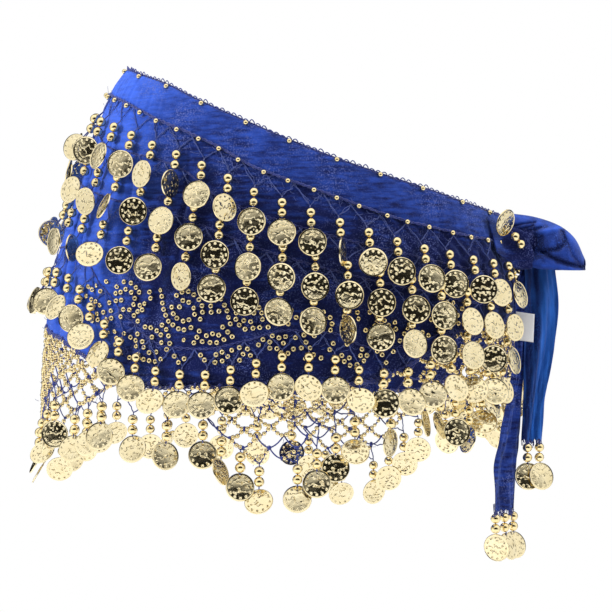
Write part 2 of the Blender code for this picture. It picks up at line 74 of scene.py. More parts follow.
# %% The room
MM = 0.001
DARK_END = Vector((0.06, -0.97, -0.16)).normalized()


def set_sockets(node, **sockets):
    """Gives input sockets their values. An underscore stands for a space."""
    for socket, value in sockets.items():
        node.inputs[socket.replace("_", " ")].default_value = value


def add_node(tree, kind, operation=None, **sockets):
    """A new node, with its operation and the values of its input sockets."""
    made = tree.nodes.new(kind)
    if operation:
        made.operation = operation
    set_sockets(made, **sockets)
    return made


def link(tree, start, end):
    """Joins an output to an input."""
    tree.links.new(start, end)


def studio_world():
    """Bright walls and dark ends for the gold, and plain white for the camera itself."""
    world = bpy.data.worlds.new("studio room")
    world.use_nodes = True
    bpy.context.scene.world = world
    tree = world.node_tree
    tree.nodes.clear()
    where = add_node(tree, "ShaderNodeTexCoord")
    widen = add_node(tree, "ShaderNodeVectorMath", "MULTIPLY")
    widen.inputs[1].default_value = (0.78, 1.0, 1.0)
    unit_way = add_node(tree, "ShaderNodeVectorMath", "NORMALIZE")
    tilt = add_node(tree, "ShaderNodeVectorMath", "DOT_PRODUCT")
    tilt.inputs[1].default_value = DARK_END
    both_ends = add_node(tree, "ShaderNodeMath", "ABSOLUTE")
    ramp = add_node(tree, "ShaderNodeValToRGB")
    stops = ramp.color_ramp.elements
    stops[0].position, stops[0].color = 0.56, (1.0, 1.0, 1.0, 1.0)
    stops[1].position, stops[1].color = 0.84, (0.012, 0.012, 0.012, 1.0)
    rise = add_node(tree, "ShaderNodeSeparateXYZ")
    height = add_node(tree, "ShaderNodeMapRange", From_Min=-1.0, To_Min=0.62, To_Max=1.28)
    room = add_node(tree, "ShaderNodeBackground")
    plain = add_node(tree, "ShaderNodeBackground", Color=(1.0, 1.0, 1.0, 1.0), Strength=1.0)
    rays = add_node(tree, "ShaderNodeLightPath")
    mix = add_node(tree, "ShaderNodeMixShader")
    out = add_node(tree, "ShaderNodeOutputWorld")
    link(tree, where.outputs["Generated"], widen.inputs[0])
    link(tree, widen.outputs["Vector"], unit_way.inputs[0])
    link(tree, unit_way.outputs["Vector"], tilt.inputs[0])
    link(tree, tilt.outputs["Value"], both_ends.inputs[0])
    link(tree, both_ends.outputs["Value"], ramp.inputs["Fac"])
    link(tree, ramp.outputs["Color"], room.inputs["Color"])
    link(tree, where.outputs["Generated"], rise.inputs["Vector"])
    link(tree, rise.outputs["Z"], height.inputs["Value"])
    link(tree, height.outputs["Result"], room.inputs["Strength"])
    link(tree, rays.outputs["Is Camera Ray"], mix.inputs["Fac"])
    link(tree, room.outputs["Background"], mix.inputs[1])
    link(tree, plain.outputs["Background"], mix.inputs[2])
    link(tree, mix.outputs["Shader"], out.inputs["Surface"])
    return world


print("world:", studio_world().name)

# %% The lamps and the camera
CENTRE = Vector((0.0, 0.0, -0.10))


def lamp(name, place, size, power):
    """A soft round lamp that faces the scarf's middle."""
    light = bpy.data.lights.new(name, "AREA")
    light.shape = "DISK"
    light.size = size
    light.energy = power
    obj = bpy.data.objects.new(name, light)
    obj.location = place
    obj.rotation_euler = (CENTRE - Vector(place)).to_track_quat("-Z", "Y").to_euler()
    obj.visible_glossy = False  # the gold shows the room alone, so it never burns out
    bpy.context.scene.collection.objects.link(obj)
    return obj


lamp("lamp_left", (-1.6, -0.7, 0.6), 0.5, 22.0)
lamp("lamp_right", (1.5, -0.9, 0.7), 0.4, 9.0)
lamp("lamp_top", (0.0, 0.2, 1.7), 1.0, 14.0)

PIXEL = 0.65 * MM  # what a pixel covers in the plane of the scarf's middle
PICTURE = 612  # pixels across
DISTANCE = 1.8
SENSOR = 36.0
camera_data = bpy.data.cameras.new("camera")
camera_data.sensor_width = SENSOR
camera_data.lens = SENSOR * DISTANCE / (PICTURE * PIXEL)
camera = bpy.data.objects.new("camera", camera_data)
camera.location = (0.017, -DISTANCE, -0.1027)
camera.rotation_euler = (math.radians(90.0), 0.0, 0.0)
bpy.context.scene.collection.objects.link(camera)
bpy.context.scene.camera = camera
bpy.context.scene.view_settings.view_transform = "Standard"
print("lens:", round(camera_data.lens, 1), "mm")

# %% [markdown]
# ## The finishes
# Each finish is a small tree of nodes. Velvet is a dark base with sheen, because its pile
# catches light at its edges. Level streaks of noise stand for the nap, and worn patches
# of it carry small pale flecks. Satin is made the same way, smoother and with upright
# streaks. Both cloths also take painted light and shade from an attribute on each mesh.
# Gold plate is a metal of low roughness with faint waves, and the coins' plate
# adds their stamp as a bump, which keeps its lines sharp on a mesh of few faces.

# %% Helpers for the finishes
Finish = namedtuple("Finish", "dark light size detail rough metal bump_size bump_depth")


def number(tree, operation, *values):
    """What a Math node makes of its values, each a number or another node's output."""
    node = add_node(tree, "ShaderNodeMath", operation)
    for socket, value in zip(node.inputs, values):
        if isinstance(value, (int, float)):
            socket.default_value = value
        else:
            link(tree, value, socket)
    return node.outputs["Value"]


def finish_material(name, finish, **sockets):
    """Two colours mixed by noise, a bump from finer noise, and constant sockets."""
    made = bpy.data.materials.new(name)
    made.use_nodes = True
    tree = made.node_tree
    shader = tree.nodes["Principled BSDF"]
    set_sockets(shader, Metallic=finish.metal, Roughness=finish.rough, **sockets)
    where = add_node(tree, "ShaderNodeTexCoord")
    patches = add_node(tree, "ShaderNodeTexNoise", Scale=1.0 / finish.size, Detail=finish.detail)
    blend = add_node(tree, "ShaderNodeMix")
    blend.data_type = "RGBA"
    set_sockets(blend, A=(*finish.dark, 1.0), B=(*finish.light, 1.0))
    grain = add_node(tree, "ShaderNodeTexNoise", Scale=1.0 / finish.bump_size)
    bump = add_node(tree, "ShaderNodeBump", Distance=finish.bump_depth)
    link(tree, where.outputs["Object"], patches.inputs["Vector"])
    link(tree, where.outputs["Object"], grain.inputs["Vector"])
    link(tree, patches.outputs["Fac"], blend.inputs["Factor"])
    link(tree, blend.outputs["Result"], shader.inputs["Base Color"])
    link(tree, grain.outputs["Fac"], bump.inputs["Height"])
    link(tree, bump.outputs["Normal"], shader.inputs["Normal"])
    return made


# %% Velvet and satin, lighter and darker by painted light and shade in an attribute
FLECK_SIZE, WORN_SIZE = 0.9 * MM, 26 * MM
LEVEL_STREAKS, UPRIGHT_STREAKS = (0.8, 0.8, 4.2), (2.2, 2.2, 0.7)
VELVET_ROUGH, SATIN_ROUGH = 0.82, 0.48


def velvet_material(name, deep, bright, fleck, streak=LEVEL_STREAKS, rough=VELVET_ROUGH):
    """Cloth that runs from deep to bright with the mesh's attribute of painted light and shade."""
    made = finish_material(
        name,
        Finish(deep, bright, 9 * MM, 6.0, rough, 0.0, 0.5 * MM, 0.25 * MM),
        Sheen_Weight=0.35,
        Sheen_Roughness=0.45,
        Sheen_Tint=(0.35, 0.50, 1.0, 1.0),
        Specular_IOR_Level=0.15,
    )
    tree = made.node_tree
    where, patches = tree.nodes["Texture Coordinate"], tree.nodes["Noise Texture"]
    blend, shader = tree.nodes["Mix"], tree.nodes["Principled BSDF"]
    streaks = add_node(tree, "ShaderNodeVectorMath", "MULTIPLY")
    streaks.inputs[1].default_value = streak
    link(tree, where.outputs["Object"], streaks.inputs[0])
    link(tree, streaks.outputs["Vector"], patches.inputs["Vector"])
    # painted light and shade: a value at each point that lightens or darkens the cloth's colour, on
    # top of the nap's streaks
    painted_light_shade = add_node(tree, "ShaderNodeAttribute")
    painted_light_shade.attribute_name = "painted_light_shade"
    nap = number(tree, "MULTIPLY_ADD", patches.outputs["Fac"], 1.2, -0.57)
    lit = number(tree, "ADD", nap, painted_light_shade.outputs["Fac"])
    lit.node.use_clamp = True
    link(tree, lit, blend.inputs["Factor"])
    flecks = add_node(tree, "ShaderNodeTexNoise", Scale=1.0 / FLECK_SIZE, Detail=1.0)
    ramp = add_node(tree, "ShaderNodeValToRGB")
    ramp.color_ramp.elements[0].position = 0.52
    ramp.color_ramp.elements[1].position = 0.70
    link(tree, where.outputs["Object"], flecks.inputs["Vector"])
    link(tree, flecks.outputs["Fac"], ramp.inputs["Fac"])
    worn = add_node(tree, "ShaderNodeTexNoise", Scale=1.0 / WORN_SIZE, Detail=2.0)
    bare = add_node(tree, "ShaderNodeMapRange", From_Min=0.46, From_Max=0.66, To_Min=0.15)
    link(tree, where.outputs["Object"], worn.inputs["Vector"])
    link(tree, worn.outputs["Fac"], bare.inputs["Value"])
    here = number(tree, "MULTIPLY", ramp.outputs["Color"], bare.outputs["Result"])
    top = add_node(tree, "ShaderNodeMix")
    top.data_type = "RGBA"
    set_sockets(top, B=(*fleck, 1.0))
    link(tree, here, top.inputs["Factor"])
    link(tree, blend.outputs["Result"], top.inputs["A"])
    link(tree, top.outputs["Result"], shader.inputs["Base Color"])
    return made


VELVET = velvet_material(
    "cobalt velvet", (0.004, 0.008, 0.070), (0.040, 0.120, 0.68), (0.11, 0.14, 0.39)
)
SATIN = velvet_material(
    "satin tie", (0.003, 0.012, 0.085), (0.020, 0.125, 0.52), (0.02, 0.10, 0.40),
    UPRIGHT_STREAKS, SATIN_ROUGH,
)
FOLD_SATIN = velvet_material(
    "satin fold", (0.003, 0.009, 0.080), (0.026, 0.095, 0.58), (0.03, 0.08, 0.40),
    UPRIGHT_STREAKS, SATIN_ROUGH,
)
print("cloths:", VELVET.name, SATIN.name, FOLD_SATIN.name)

# %% Crochet thread and plain gold
THREAD = finish_material(
    "crochet thread",
    Finish((0.010, 0.018, 0.14), (0.030, 0.050, 0.30), 1.5 * MM, 3.0, 0.8, 0.0, 0.4 * MM, 0.2 * MM),
    Sheen_Weight=0.3,
)
LIGHT_THREAD = finish_material(
    "light crochet thread",
    Finish((0.008, 0.018, 0.14), (0.055, 0.105, 0.42), 4 * MM, 5.0, 0.8, 0.0, 0.4 * MM, 0.2 * MM),
    Sheen_Weight=0.4,
)
GOLD_BEAD = finish_material(
    "gold bead",
    Finish((0.88, 0.69, 0.32), (0.98, 0.85, 0.52), 5 * MM, 2.0, 0.13, 1.0, 2 * MM, 0.02 * MM),
)

# %% Gold with a fine stamp
STAMP_LINES, STAMP_RING = 0.66, 0.775  # in shares of the radius
COIN_DOTS = 12


def stamped_material(name, finish, depth):
    """Gold whose bump follows each coin's own plane, kept in the attribute stamp."""
    made = finish_material(name, finish)
    tree = made.node_tree

    def of(operation, *values):
        return number(tree, operation, *values)

    plane = add_node(tree, "ShaderNodeAttribute")
    plane.attribute_name = "stamp"
    parts = add_node(tree, "ShaderNodeSeparateXYZ")
    link(tree, plane.outputs["Vector"], parts.inputs["Vector"])
    across, up, own = parts.outputs
    away = add_node(tree, "ShaderNodeCombineXYZ")
    link(tree, across, away.inputs["X"])
    link(tree, up, away.inputs["Y"])
    length = add_node(tree, "ShaderNodeVectorMath", "LENGTH")
    link(tree, away.outputs["Vector"], length.inputs[0])
    radius = length.outputs["Value"]
    stray = add_node(tree, "ShaderNodeTexNoise", Scale=2.3, Detail=1.0)
    link(tree, plane.outputs["Vector"], stray.inputs["Vector"])
    slant = of("MULTIPLY", stray.outputs["Fac"], 15.0)
    lines = of("SINE", of("ADD", of("ADD", of("MULTIPLY", up, 10.0), slant), own))
    lines = of("POWER", of("MAXIMUM", lines, 0.0), 3.0)
    inside = of("MULTIPLY", of("SUBTRACT", STAMP_LINES, radius), 9.0)
    inside = of("MINIMUM", of("MAXIMUM", inside, 0.0), 1.0)
    weave = of("SINE", of("ADD", of("MULTIPLY", across, 9.0), slant))
    broken = of("ADD", of("MULTIPLY", weave, 0.6), 0.75)
    lines = of("MULTIPLY", of("MULTIPLY", lines, inside), broken)
    dots = of("COSINE", of("MULTIPLY", of("ARCTAN2", up, across), COIN_DOTS))
    ring = of("DIVIDE", of("ABSOLUTE", of("SUBTRACT", radius, STAMP_RING)), 0.085)
    ring = of("MAXIMUM", of("SUBTRACT", 1.0, ring), 0.0)
    total = of("ADD", lines, of("MULTIPLY", of("MAXIMUM", dots, 0.0), ring))
    stamp = add_node(tree, "ShaderNodeBump", Distance=depth)
    link(tree, total, stamp.inputs["Height"])
    link(tree, tree.nodes["Bump"].outputs["Normal"], stamp.inputs["Normal"])
    link(tree, stamp.outputs["Normal"], tree.nodes["Principled BSDF"].inputs["Normal"])
    return made


GOLD_COIN = stamped_material(
    "stamped coin",
    Finish((0.80, 0.66, 0.36), (0.95, 0.85, 0.58), 7 * MM, 3.0, 0.14, 1.0, 1.2 * MM, 0.05 * MM),
    0.5 * MM,
)
LABEL = finish_material(
    "white ribbon",
    Finish((0.74, 0.75, 0.78), (0.86, 0.86, 0.88), 0.7 * MM, 2.0, 0.6, 0.0, 0.35 * MM, 0.1 * MM),
)
FLOOR = finish_material(
    "pale floor",
    Finish((0.78, 0.78, 0.79), (0.82, 0.82, 0.82), 0.4, 2.0, 0.9, 0.0, 5 * MM, 0.1 * MM),
)
print("finishes:", len(bpy.data.materials))

# %% [markdown]
# ## Gathering many small forms into one mesh
# The scarf has thousands of beads and threads. One object for each would be slow, and
# Python loops over them too, so each form is made once, as arrays, and stamped at every
# place with numpy. A batch gathers the copies, and one call turns it into an object.

# %% The batch and the object maker
Form = namedtuple("Form", "points quads tris")


class Batch:
    """Points and faces of many small forms."""

    def __init__(self):
        self.points, self.faces, self.size = [], [], 0

    def add(self, points, *face_sets):
        """Takes in points, and faces that are numbered from the first of them."""
        points = np.asarray(points, float).reshape(-1, 3)
        for faces in face_sets:
            if len(faces):
                self.faces += (np.asarray(faces) + self.size).tolist()
        self.points.append(points)
        self.size += len(points)

    def stamp(self, form, origins, axes):
        """One copy of the form at each origin. axes holds three scaled rows for each."""
        origins = np.asarray(origins, float)
        count, size = len(origins), len(form.points)
        placed = origins[:, None, :] + np.einsum("pk,nkc->npc", form.points, axes)
        shift = (np.arange(count) * size)[:, None, None]
        sets = [
            (np.asarray(f)[None] + shift).reshape(-1, len(f[0]))
            for f in (form.quads, form.tris)
            if len(f)
        ]
        self.add(placed, *sets)

    def balls(self, form, places, radii):
        """A ball at each place. The radii are one number, or one for each ball or axis."""
        radii = np.broadcast_to(radii, (len(places), 1, 3))
        self.stamp(form, places, np.eye(3)[None] * radii)

    def tubes(self, paths, radius, normals):
        """Four-sided threads along paths (thread, point, xyz), closed at both ends."""
        paths = np.asarray(paths, float)
        run = np.gradient(paths, axis=1)
        run /= np.linalg.norm(run, axis=2, keepdims=True) + 1e-12
        side = np.cross(run, normals)
        side /= np.linalg.norm(side, axis=2, keepdims=True) + 1e-12
        up = np.cross(side, run)
        corners = [(1, 0), (0, 1), (-1, 0), (0, -1)]
        rings = np.stack([paths + radius * (a * side + b * up) for a, b in corners], axis=2)
        threads, steps = paths.shape[:2]
        ring = np.arange(threads * steps).reshape(threads, steps) * 4
        walls = []
        for k in range(4):
            m = (k + 1) % 4
            a, b = ring[:, :-1].ravel(), ring[:, 1:].ravel()
            walls.append(np.stack([a + k, a + m, b + m, b + k], axis=1))
        first, last = ring[:, 0], ring[:, -1]
        caps = [
            np.stack([first + 3, first + 2, first + 1, first], axis=1),
            np.stack([last, last + 1, last + 2, last + 3], axis=1),
        ]
        self.add(rings, np.concatenate(walls + caps))


def make_piece(name, batch, paint, sharp_angle=None):
    """Turns a batch into an object that rides on the scarf."""
    mesh = bpy.data.meshes.new(name)
    mesh.from_pydata(np.concatenate(batch.points).tolist(), [], batch.faces)
    mesh.shade_smooth()
    if sharp_angle:
        mesh.set_sharp_from_angle(angle=math.radians(sharp_angle))
    mesh.materials.append(paint)
    obj = bpy.data.objects.new(name, mesh)
    bpy.context.scene.collection.objects.link(obj)
    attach(obj, "root")
    print(f"{name}: {len(mesh.polygons)} faces")
    return obj


# %% [markdown]
# ## The shape that the solids were built from
# The frame gives the solids' meshes, but a finer piece needs the smooth rule behind them.
# So the named tables of the cut and of the hips come again here, with the functions that
# read them, written for whole arrays of places. Turns are degrees round the hips from the
# scarf's middle to the knot, and a negative turn is the back.

# %% The hips and the cut
MIDDLE = 190.0  # where the scarf's middle lies, in degrees round from +X through the front
DEPTH_SHARE = 0.76
CLOTH_END = 172.0
BACK_DIP = 11.0 * MM
Section = namedtuple("Section", "height half_width centre")
HIPS = [
    Section(62, 90, 0),
    Section(48, 99, 0),
    Section(30, 111, 1),
    Section(12, 120, 2),
    Section(-14, 129, 3),
    Section(-34, 135, 4),
    Section(-60, 142, 4),
    Section(-86, 147, 3),
    Section(-118, 150, 1),
    Section(-164, 152, -1),
    Section(-250, 152, -2),
]
Station = namedtuple("Station", "turn top row1 row2 row3 row4 hem net")
CUT = [
    Station(0, 49.0, 36.0, 20.0, -18.0, -65.0, -112.0, -184.0),
    Station(12, 48.7, 35.0, 18.0, -20.0, -65.0, -113.5, -183.0),
    Station(26, 47.0, 32.0, 8.0, -26.5, -65.0, -119.0, -181.0),
    Station(40, 43.0, 27.0, -3.0, -32.5, -71.0, -127.0, -167.0),
    Station(52, 38.5, 20.0, -7.0, -37.5, -92.0, -138.0, -163.0),
    Station(62, 33.0, 12.5, -11.0, -42.0, -112.0, -146.0, -163.0),
    Station(72, 25.0, 5.0, -19.0, -47.5, -127.0, -152.0, -166.0),
    Station(82, 16.5, -4.5, -35.0, -56.0, -129.0, -151.0, -188.0),
    Station(92, 7.5, -17.0, -45.0, -66.0, -124.0, -152.5, -206.0),
    Station(102, -2.0, -26.0, -53.0, -74.0, -117.5, -151.0, -197.0),
    Station(112, -11.0, -34.5, -60.0, -81.0, -119.0, -150.0, -181.0),
    Station(122, -19.0, -43.0, -66.0, -87.0, -128.0, -148.0, -167.0),
    Station(132, -26.0, -50.0, -71.0, -92.0, -127.0, -138.0, -163.0),
    Station(142, -32.0, -54.5, -75.5, -96.5, -119.0, -124.0, -163.0),
    Station(154, -38.5, -59.0, -80.0, -101.0, -121.5, -115.0, -157.0),
    Station(CLOTH_END, -45.5, -62.0, -83.0, -104.0, -123.5, -113.0, -148.0),
]


def smooth_between(places, values, at):
    """A cubic through the values that never overshoots two neighbours."""
    places, values = np.asarray(places, float), np.asarray(values, float)
    at = np.clip(np.asarray(at, float), places[0], places[-1])
    i = np.clip(np.searchsorted(places, at, side="right") - 1, 0, len(places) - 2)
    slopes = np.diff(values) / np.diff(places)
    before, after = slopes[:-1], slopes[1:]
    agree = before * after > 0
    inner = np.where(agree, 2 * before * after / np.where(agree, before + after, 1.0), 0.0)
    tangents = np.concatenate([slopes[:1], inner, slopes[-1:]])
    span = places[i + 1] - places[i]
    t = (at - places[i]) / span
    return (
        (2 * t**3 - 3 * t**2 + 1) * values[i]
        + (t**3 - 2 * t**2 + t) * span * tangents[i]
        + (3 * t**2 - 2 * t**3) * values[i + 1]
        + (t**3 - t**2) * span * tangents[i + 1]
    )


def hips_at(height, column):
    """A column of the hips' table, in metres, at these heights."""
    rising = HIPS[::-1]
    places = [s.height * MM for s in rising]
    return smooth_between(places, [getattr(s, column) * MM for s in rising], height)


def back_dip(turn):
    """How much lower a line hangs behind than in front."""
    behind = np.sin(np.radians(np.clip(-np.asarray(turn, float), 0.0, 180.0)))
    return BACK_DIP * np.clip(behind, 0.0, 1.0) ** 1.25


def level(turn, column):
    """The height of a line of the cut at these turns. It dips at the back."""
    turn = np.asarray(turn, float)
    values = [getattr(s, column) * MM for s in CUT]
    return smooth_between([s.turn for s in CUT], values, np.abs(turn)) - back_dip(turn)


# %% The worn surface and its ridges
Ridge = namedtuple("Ridge", "turn width lean proud high low")
RIDGES = [
    Ridge(8, 5.0, 20.0, 2.2, 20, -125),
    Ridge(22, 4.5, 40.0, 3.0, 0, -135),
    Ridge(36, 5.0, 90.0, 2.6, -10, -140),
    Ridge(58, 7.0, 120.0, 1.8, 10, -130),
    Ridge(96, 9.0, -60.0, 1.4, -30, -150),
    Ridge(126, 7.0, -160.0, 2.0, -40, -140),
    Ridge(146, 5.0, -200.0, 2.8, -50, -120),
    Ridge(161, 4.0, -140.0, 3.2, -50, -115),
]


def fold(turn, height):
    """How proud the soft ridges stand."""
    turn = np.asarray(turn, float)
    height = height + back_dip(turn)
    total = np.zeros(np.broadcast(turn, height).shape)
    for r in RIDGES:
        high, low = r.high * MM, r.low * MM
        centre = r.turn + r.lean * (height - high)
        down = (high - height) / (high - low)
        swell = np.sin(np.pi * np.clip(down / 1.25, 0.0, 1.0)) ** 2
        total += r.proud * MM * swell * np.exp(-(((np.abs(turn) - centre) / r.width) ** 2))
    return total


def frame_at(turn, height):
    """The plain surface's points, level outward normals and level tangents."""
    turn, height = np.broadcast_arrays(np.asarray(turn, float), np.asarray(height, float))
    angle = np.radians(MIDDLE - turn)
    width = hips_at(height, "half_width")
    depth = width * DEPTH_SHARE
    centre = hips_at(height, "centre")
    point = np.stack([centre + width * np.cos(angle), -depth * np.sin(angle), height], -1)
    out = np.stack([np.cos(angle) / width, -np.sin(angle) / depth, 0 * width], -1)
    out /= np.linalg.norm(out, axis=-1, keepdims=True)
    along = np.stack([-out[..., 1], out[..., 0], 0 * width], -1)
    return point, out, along


def slope_stretch(turn, height):
    """What the thickness of a sloping wall is multiplied by when it is measured level."""
    step = 4.0 * MM
    upper, out, _ = frame_at(turn, height + step)
    lower, _, _ = frame_at(turn, height - step)
    run = ((upper - lower) * out).sum(-1) / (2 * step)
    return np.sqrt(1.0 + run * run)


def on_hips(turn, height, off=0.0):
    """A point on the ridged surface, or some way off it."""
    point, out, _ = frame_at(turn, height)
    lift = (fold(turn, height) + off) * slope_stretch(turn, height)
    return point + out * lift[..., None]


def swell_near(turn, height):
    """The most that the ridges stand proud within a few degrees."""
    return np.max([fold(turn + shift, height) for shift in (-4.0, -2.0, 0.0, 2.0, 4.0)], axis=0)


def reached_along(line):
    """How far along a line each of its points lies."""
    steps = np.linalg.norm(np.diff(line, axis=0), axis=1)
    return np.concatenate([[0], np.cumsum(steps)])


hem_turns = np.linspace(0, CLOTH_END, 600)
half_hem = reached_along(frame_at(hem_turns, level(hem_turns, "hem"))[0])[-1]
print("hem round the hips:", round(2 * half_hem / MM), "mm")

# %% [markdown]
# ## The cloth panel
# The front and the back are one long piece of velvet. It could be draped by simulation,
# but the photograph's wrinkles are known, so the sheet is laid on the worn surface and
# pressed in along soft troughs. Puckers stand close together towards the middle of the
# scarf, drag lines run to the knot, and short soft wrinkles lie where the drops pull.
# Their sizes are drawn from the seed, and so are most of their places, front and back.

# %% Troughs in the cloth
CLOTH_THICK = 1.0 * MM
SEAM = 0.3 * MM
Trough = namedtuple("Trough", "turn width lean deep high low")


def draw_troughs():
    """Uneven puckers, as turns with their sign, and drag lines near the knot."""
    drawn = []
    for side in (1, -1):
        for turn in np.arange(3.0, 150.0, 4.3):
            near_middle = 1.0 if turn < 75 else 0.55
            drawn.append(
                Trough(
                    side * (turn + rng.uniform(-1.8, 1.8)),
                    rng.uniform(0.8, 2.2),
                    side * rng.uniform(-60, 90),
                    near_middle * rng.choice([1.0, 1.0, -0.5]) * rng.uniform(0.8, 2.5) * MM,
                    rng.uniform(0.12, 0.42),
                    rng.uniform(0.55, 1.15),
                )
            )
        for turn in np.arange(106.0, 170.0, 5.0):
            drawn.append(
                Trough(side * turn, 1.7, side * -560.0, rng.uniform(0.8, 1.8) * MM, 0.0, 0.8)
            )
    return drawn


Wrinkle = namedtuple("Wrinkle", "turn height slant length width deep")
MM_PER_TURN = 2.5 * MM  # about what one degree spans along the cloth


def draw_wrinkles(count=130):
    """Short soft wrinkles where the drops pull at the cloth, on each side."""
    drawn = []
    for side in (1, -1):
        for turn in rng.uniform(34.0, 166.0, count):
            share = rng.uniform(0.16, 0.98)
            top, hem = level(side * turn, "top"), level(side * turn, "hem")
            drawn.append(
                Wrinkle(
                    side * turn,
                    float(top + (hem - top) * share),
                    side * rng.normal(0.25, 0.55),
                    rng.uniform(5.0, 14.0) * MM,
                    rng.uniform(1.3, 2.6) * MM,
                    rng.choice([1.0, -0.7]) * rng.uniform(0.5, 1.3) * MM,
                )
            )
    return drawn


TROUGHS = draw_troughs()
WRINKLES = draw_wrinkles()


def crease(turn, height):
    """How far the cloth is pressed in, as a number below zero."""
    turn = np.asarray(turn, float)
    top, hem = level(turn, "top"), level(turn, "hem")
    share = (top - height) / np.maximum(top - hem, 0.02)
    total = np.zeros(np.broadcast(turn, height).shape)
    for t in TROUGHS:
        centre = t.turn + t.lean * (height - (top - t.high * (top - hem)))
        window = np.clip((share - t.high) / 0.18, 0, 1) * np.clip((t.low - share) / 0.18, 0, 1)
        if t.high == 0.0:
            window = np.clip((t.low - share) / 0.25, 0, 1)
        total -= t.deep * window * np.exp(-(((turn - centre) / t.width) ** 2))
    for w in WRINKLES:
        across, up = (turn - w.turn) * MM_PER_TURN, height - w.height
        along = (across * math.cos(w.slant) + up * math.sin(w.slant)) / w.length
        beside = (up * math.cos(w.slant) - across * math.sin(w.slant)) / w.width
        total -= w.deep * np.exp(-(along**2) - beside**2)
    return np.clip(total, -3.0 * MM, 1.0 * MM)


def on_cloth(turn, height, off=CLOTH_THICK):
    """A point on the creased velvet's face, or off the inner face."""
    return on_hips(turn, height, off + crease(turn, height))


# %% A sheet from a grid of points
def paint_light_and_shade(obj, values):
    """Painted light and shade: how light the cloth's colour is at each point, which the velvet's
    finish reads.
    """
    attribute = obj.data.attributes.new("painted_light_shade", "FLOAT", "POINT")
    attribute.data.foreach_set("value", np.ravel(values).astype(np.float32))


def make_sheet(name, points, paint, thick, painted_light_shade=0.3):
    """A cloth shell from points (row, column, xyz), with its thickness and its painted light and
    shade.
    """
    rows, columns = points.shape[:2]
    index = np.arange(rows * columns).reshape(rows, columns)
    corners = [index[:-1, :-1], index[1:, :-1], index[1:, 1:], index[:-1, 1:]]
    batch = Batch()
    batch.add(points, np.stack(corners, axis=-1).reshape(-1, 4))
    obj = make_piece(name, batch, paint)
    paint_light_and_shade(obj, np.broadcast_to(painted_light_shade, (rows, columns)))
    solid = obj.modifiers.new("cloth thickness", "SOLIDIFY")
    solid.thickness = thick
    solid.offset = 0.0
    return obj


def sheet_area(points):
    """Square metres of a grid of points."""
    across = points[:-1, 1:] - points[:-1, :-1]
    down = points[1:, :-1] - points[:-1, :-1]
    return float(np.linalg.norm(np.cross(across, down), axis=-1).sum())


# %% The velvet panel
PANEL_COLUMNS, PANEL_ROWS = 560, 62
VELVET_THICK = 0.6 * MM
TROUGH_SHADE = 11.0 * MM  # painted shade: a trough as deep as this darkens the cloth's colour from full painted light to none


def soft_step(value, edge, width):
    """Runs from one down to nothing as the value passes the edge."""
    return 1.0 / (1.0 + np.exp((value - edge) / width))


def panel_painted_highlight(turn, share):
    """Painted highlight round the side by the middle, less so in front, and the colour a little
    lighter in a strip a fifth of the way down.
    """
    below_row = 0.18 * np.exp(-(((share - 0.20) / 0.16) ** 2))
    return -0.09 + 0.83 * soft_step(np.abs(turn), 58.0, 6.0) + below_row


turns = np.linspace(-CLOTH_END, CLOTH_END, PANEL_COLUMNS + 1)[None, :]
shares = np.linspace(0.0, 1.0, PANEL_ROWS + 1)[:, None]
heights = level(turns, "top") + (level(turns, "hem") - level(turns, "top")) * shares
panel_points = on_cloth(turns, heights, 0.5 * CLOTH_THICK)
# painted light and shade: the highlight round the side, and painted shade pressed into the troughs
panel_painted_light_shade = panel_painted_highlight(turns, shares) + crease(turns, heights) / TROUGH_SHADE
panel = make_sheet("velvet_panel", panel_points, VELVET, VELVET_THICK, panel_painted_light_shade)
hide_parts("cloth_front", "cloth_back")
print("panel area:", round(sheet_area(panel_points), 4), "m2")

# %% [markdown]
# ## The turned hem
# The top edge is folded to the outside and caught down by the first crochet row. The fold
# is a second strip that starts at that row, runs up, rolls over the edge and ends inside,
# so the edge is round and the layers show. A profile of a few steps is swept along it.

# %% The folded band
HemStep = namedtuple("HemStep", "share off lift")
HEM_PROFILE = [
    HemStep(1.02, 1.15, 0.0),
    HemStep(0.97, 1.55, 0.0),
    HemStep(0.85, 1.95, 0.0),
    HemStep(0.65, 2.10, 0.0),
    HemStep(0.45, 2.05, 0.0),
    HemStep(0.25, 1.95, 0.0),
    HemStep(0.08, 1.85, 0.0),
    HemStep(0.0, 1.60, 0.6),
    HemStep(0.0, 0.90, 1.2),
    HemStep(0.0, 0.00, 1.1),
    HemStep(0.0, -0.60, 0.4),
    HemStep(0.12, -0.70, 0.0),
    HemStep(0.30, -0.60, 0.0),
]


def hem_points(turn):
    """The profile's rows along the top edge."""
    top, line = level(turn, "top"), level(turn, "row1")
    ripple = 0.35 * MM * np.sin(turn * 2.1) * np.sin(turn * 0.53 + 1.0)
    rows = []
    for step in HEM_PROFILE:
        height = top + (line - top) * step.share + step.lift * MM
        lift = step.off * MM + ripple * min(step.share * 2.0, 1.0) * (step.off > 1.2)
        rows.append(on_hips(turn, height, lift + 0.55 * crease(turn, height)))
    return np.stack(rows)


BAND_COLUMNS = 480
band_turns = np.linspace(-CLOTH_END, CLOTH_END, BAND_COLUMNS + 1)
band_points = hem_points(band_turns)
# painted highlight: the turned hem's colour is lighter round the side by the middle
band_painted_highlight = 0.20 + 0.62 * soft_step(np.abs(band_turns), 60.0, 8.0)
band = make_sheet("turned_hem", band_points, VELVET, 0.4 * MM, band_painted_highlight)
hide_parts("turned_hem_front", "turned_hem_back")
print("band area:", round(sheet_area(band_points), 4), "m2")

# %% [markdown]
# ## Small forms: beads and stamped coins
# A round bead is a cube's grid pushed out to a sphere, which has no pinched poles. A coin
# is a slightly domed disc whose face is a grid of rings. Its relief is one rule of radius
# and angle, a raised rim, a ring of dots and wavy lines, a general ornament with no
# lettering. The mesh has its main heights, and the finish adds finer lines and dots.

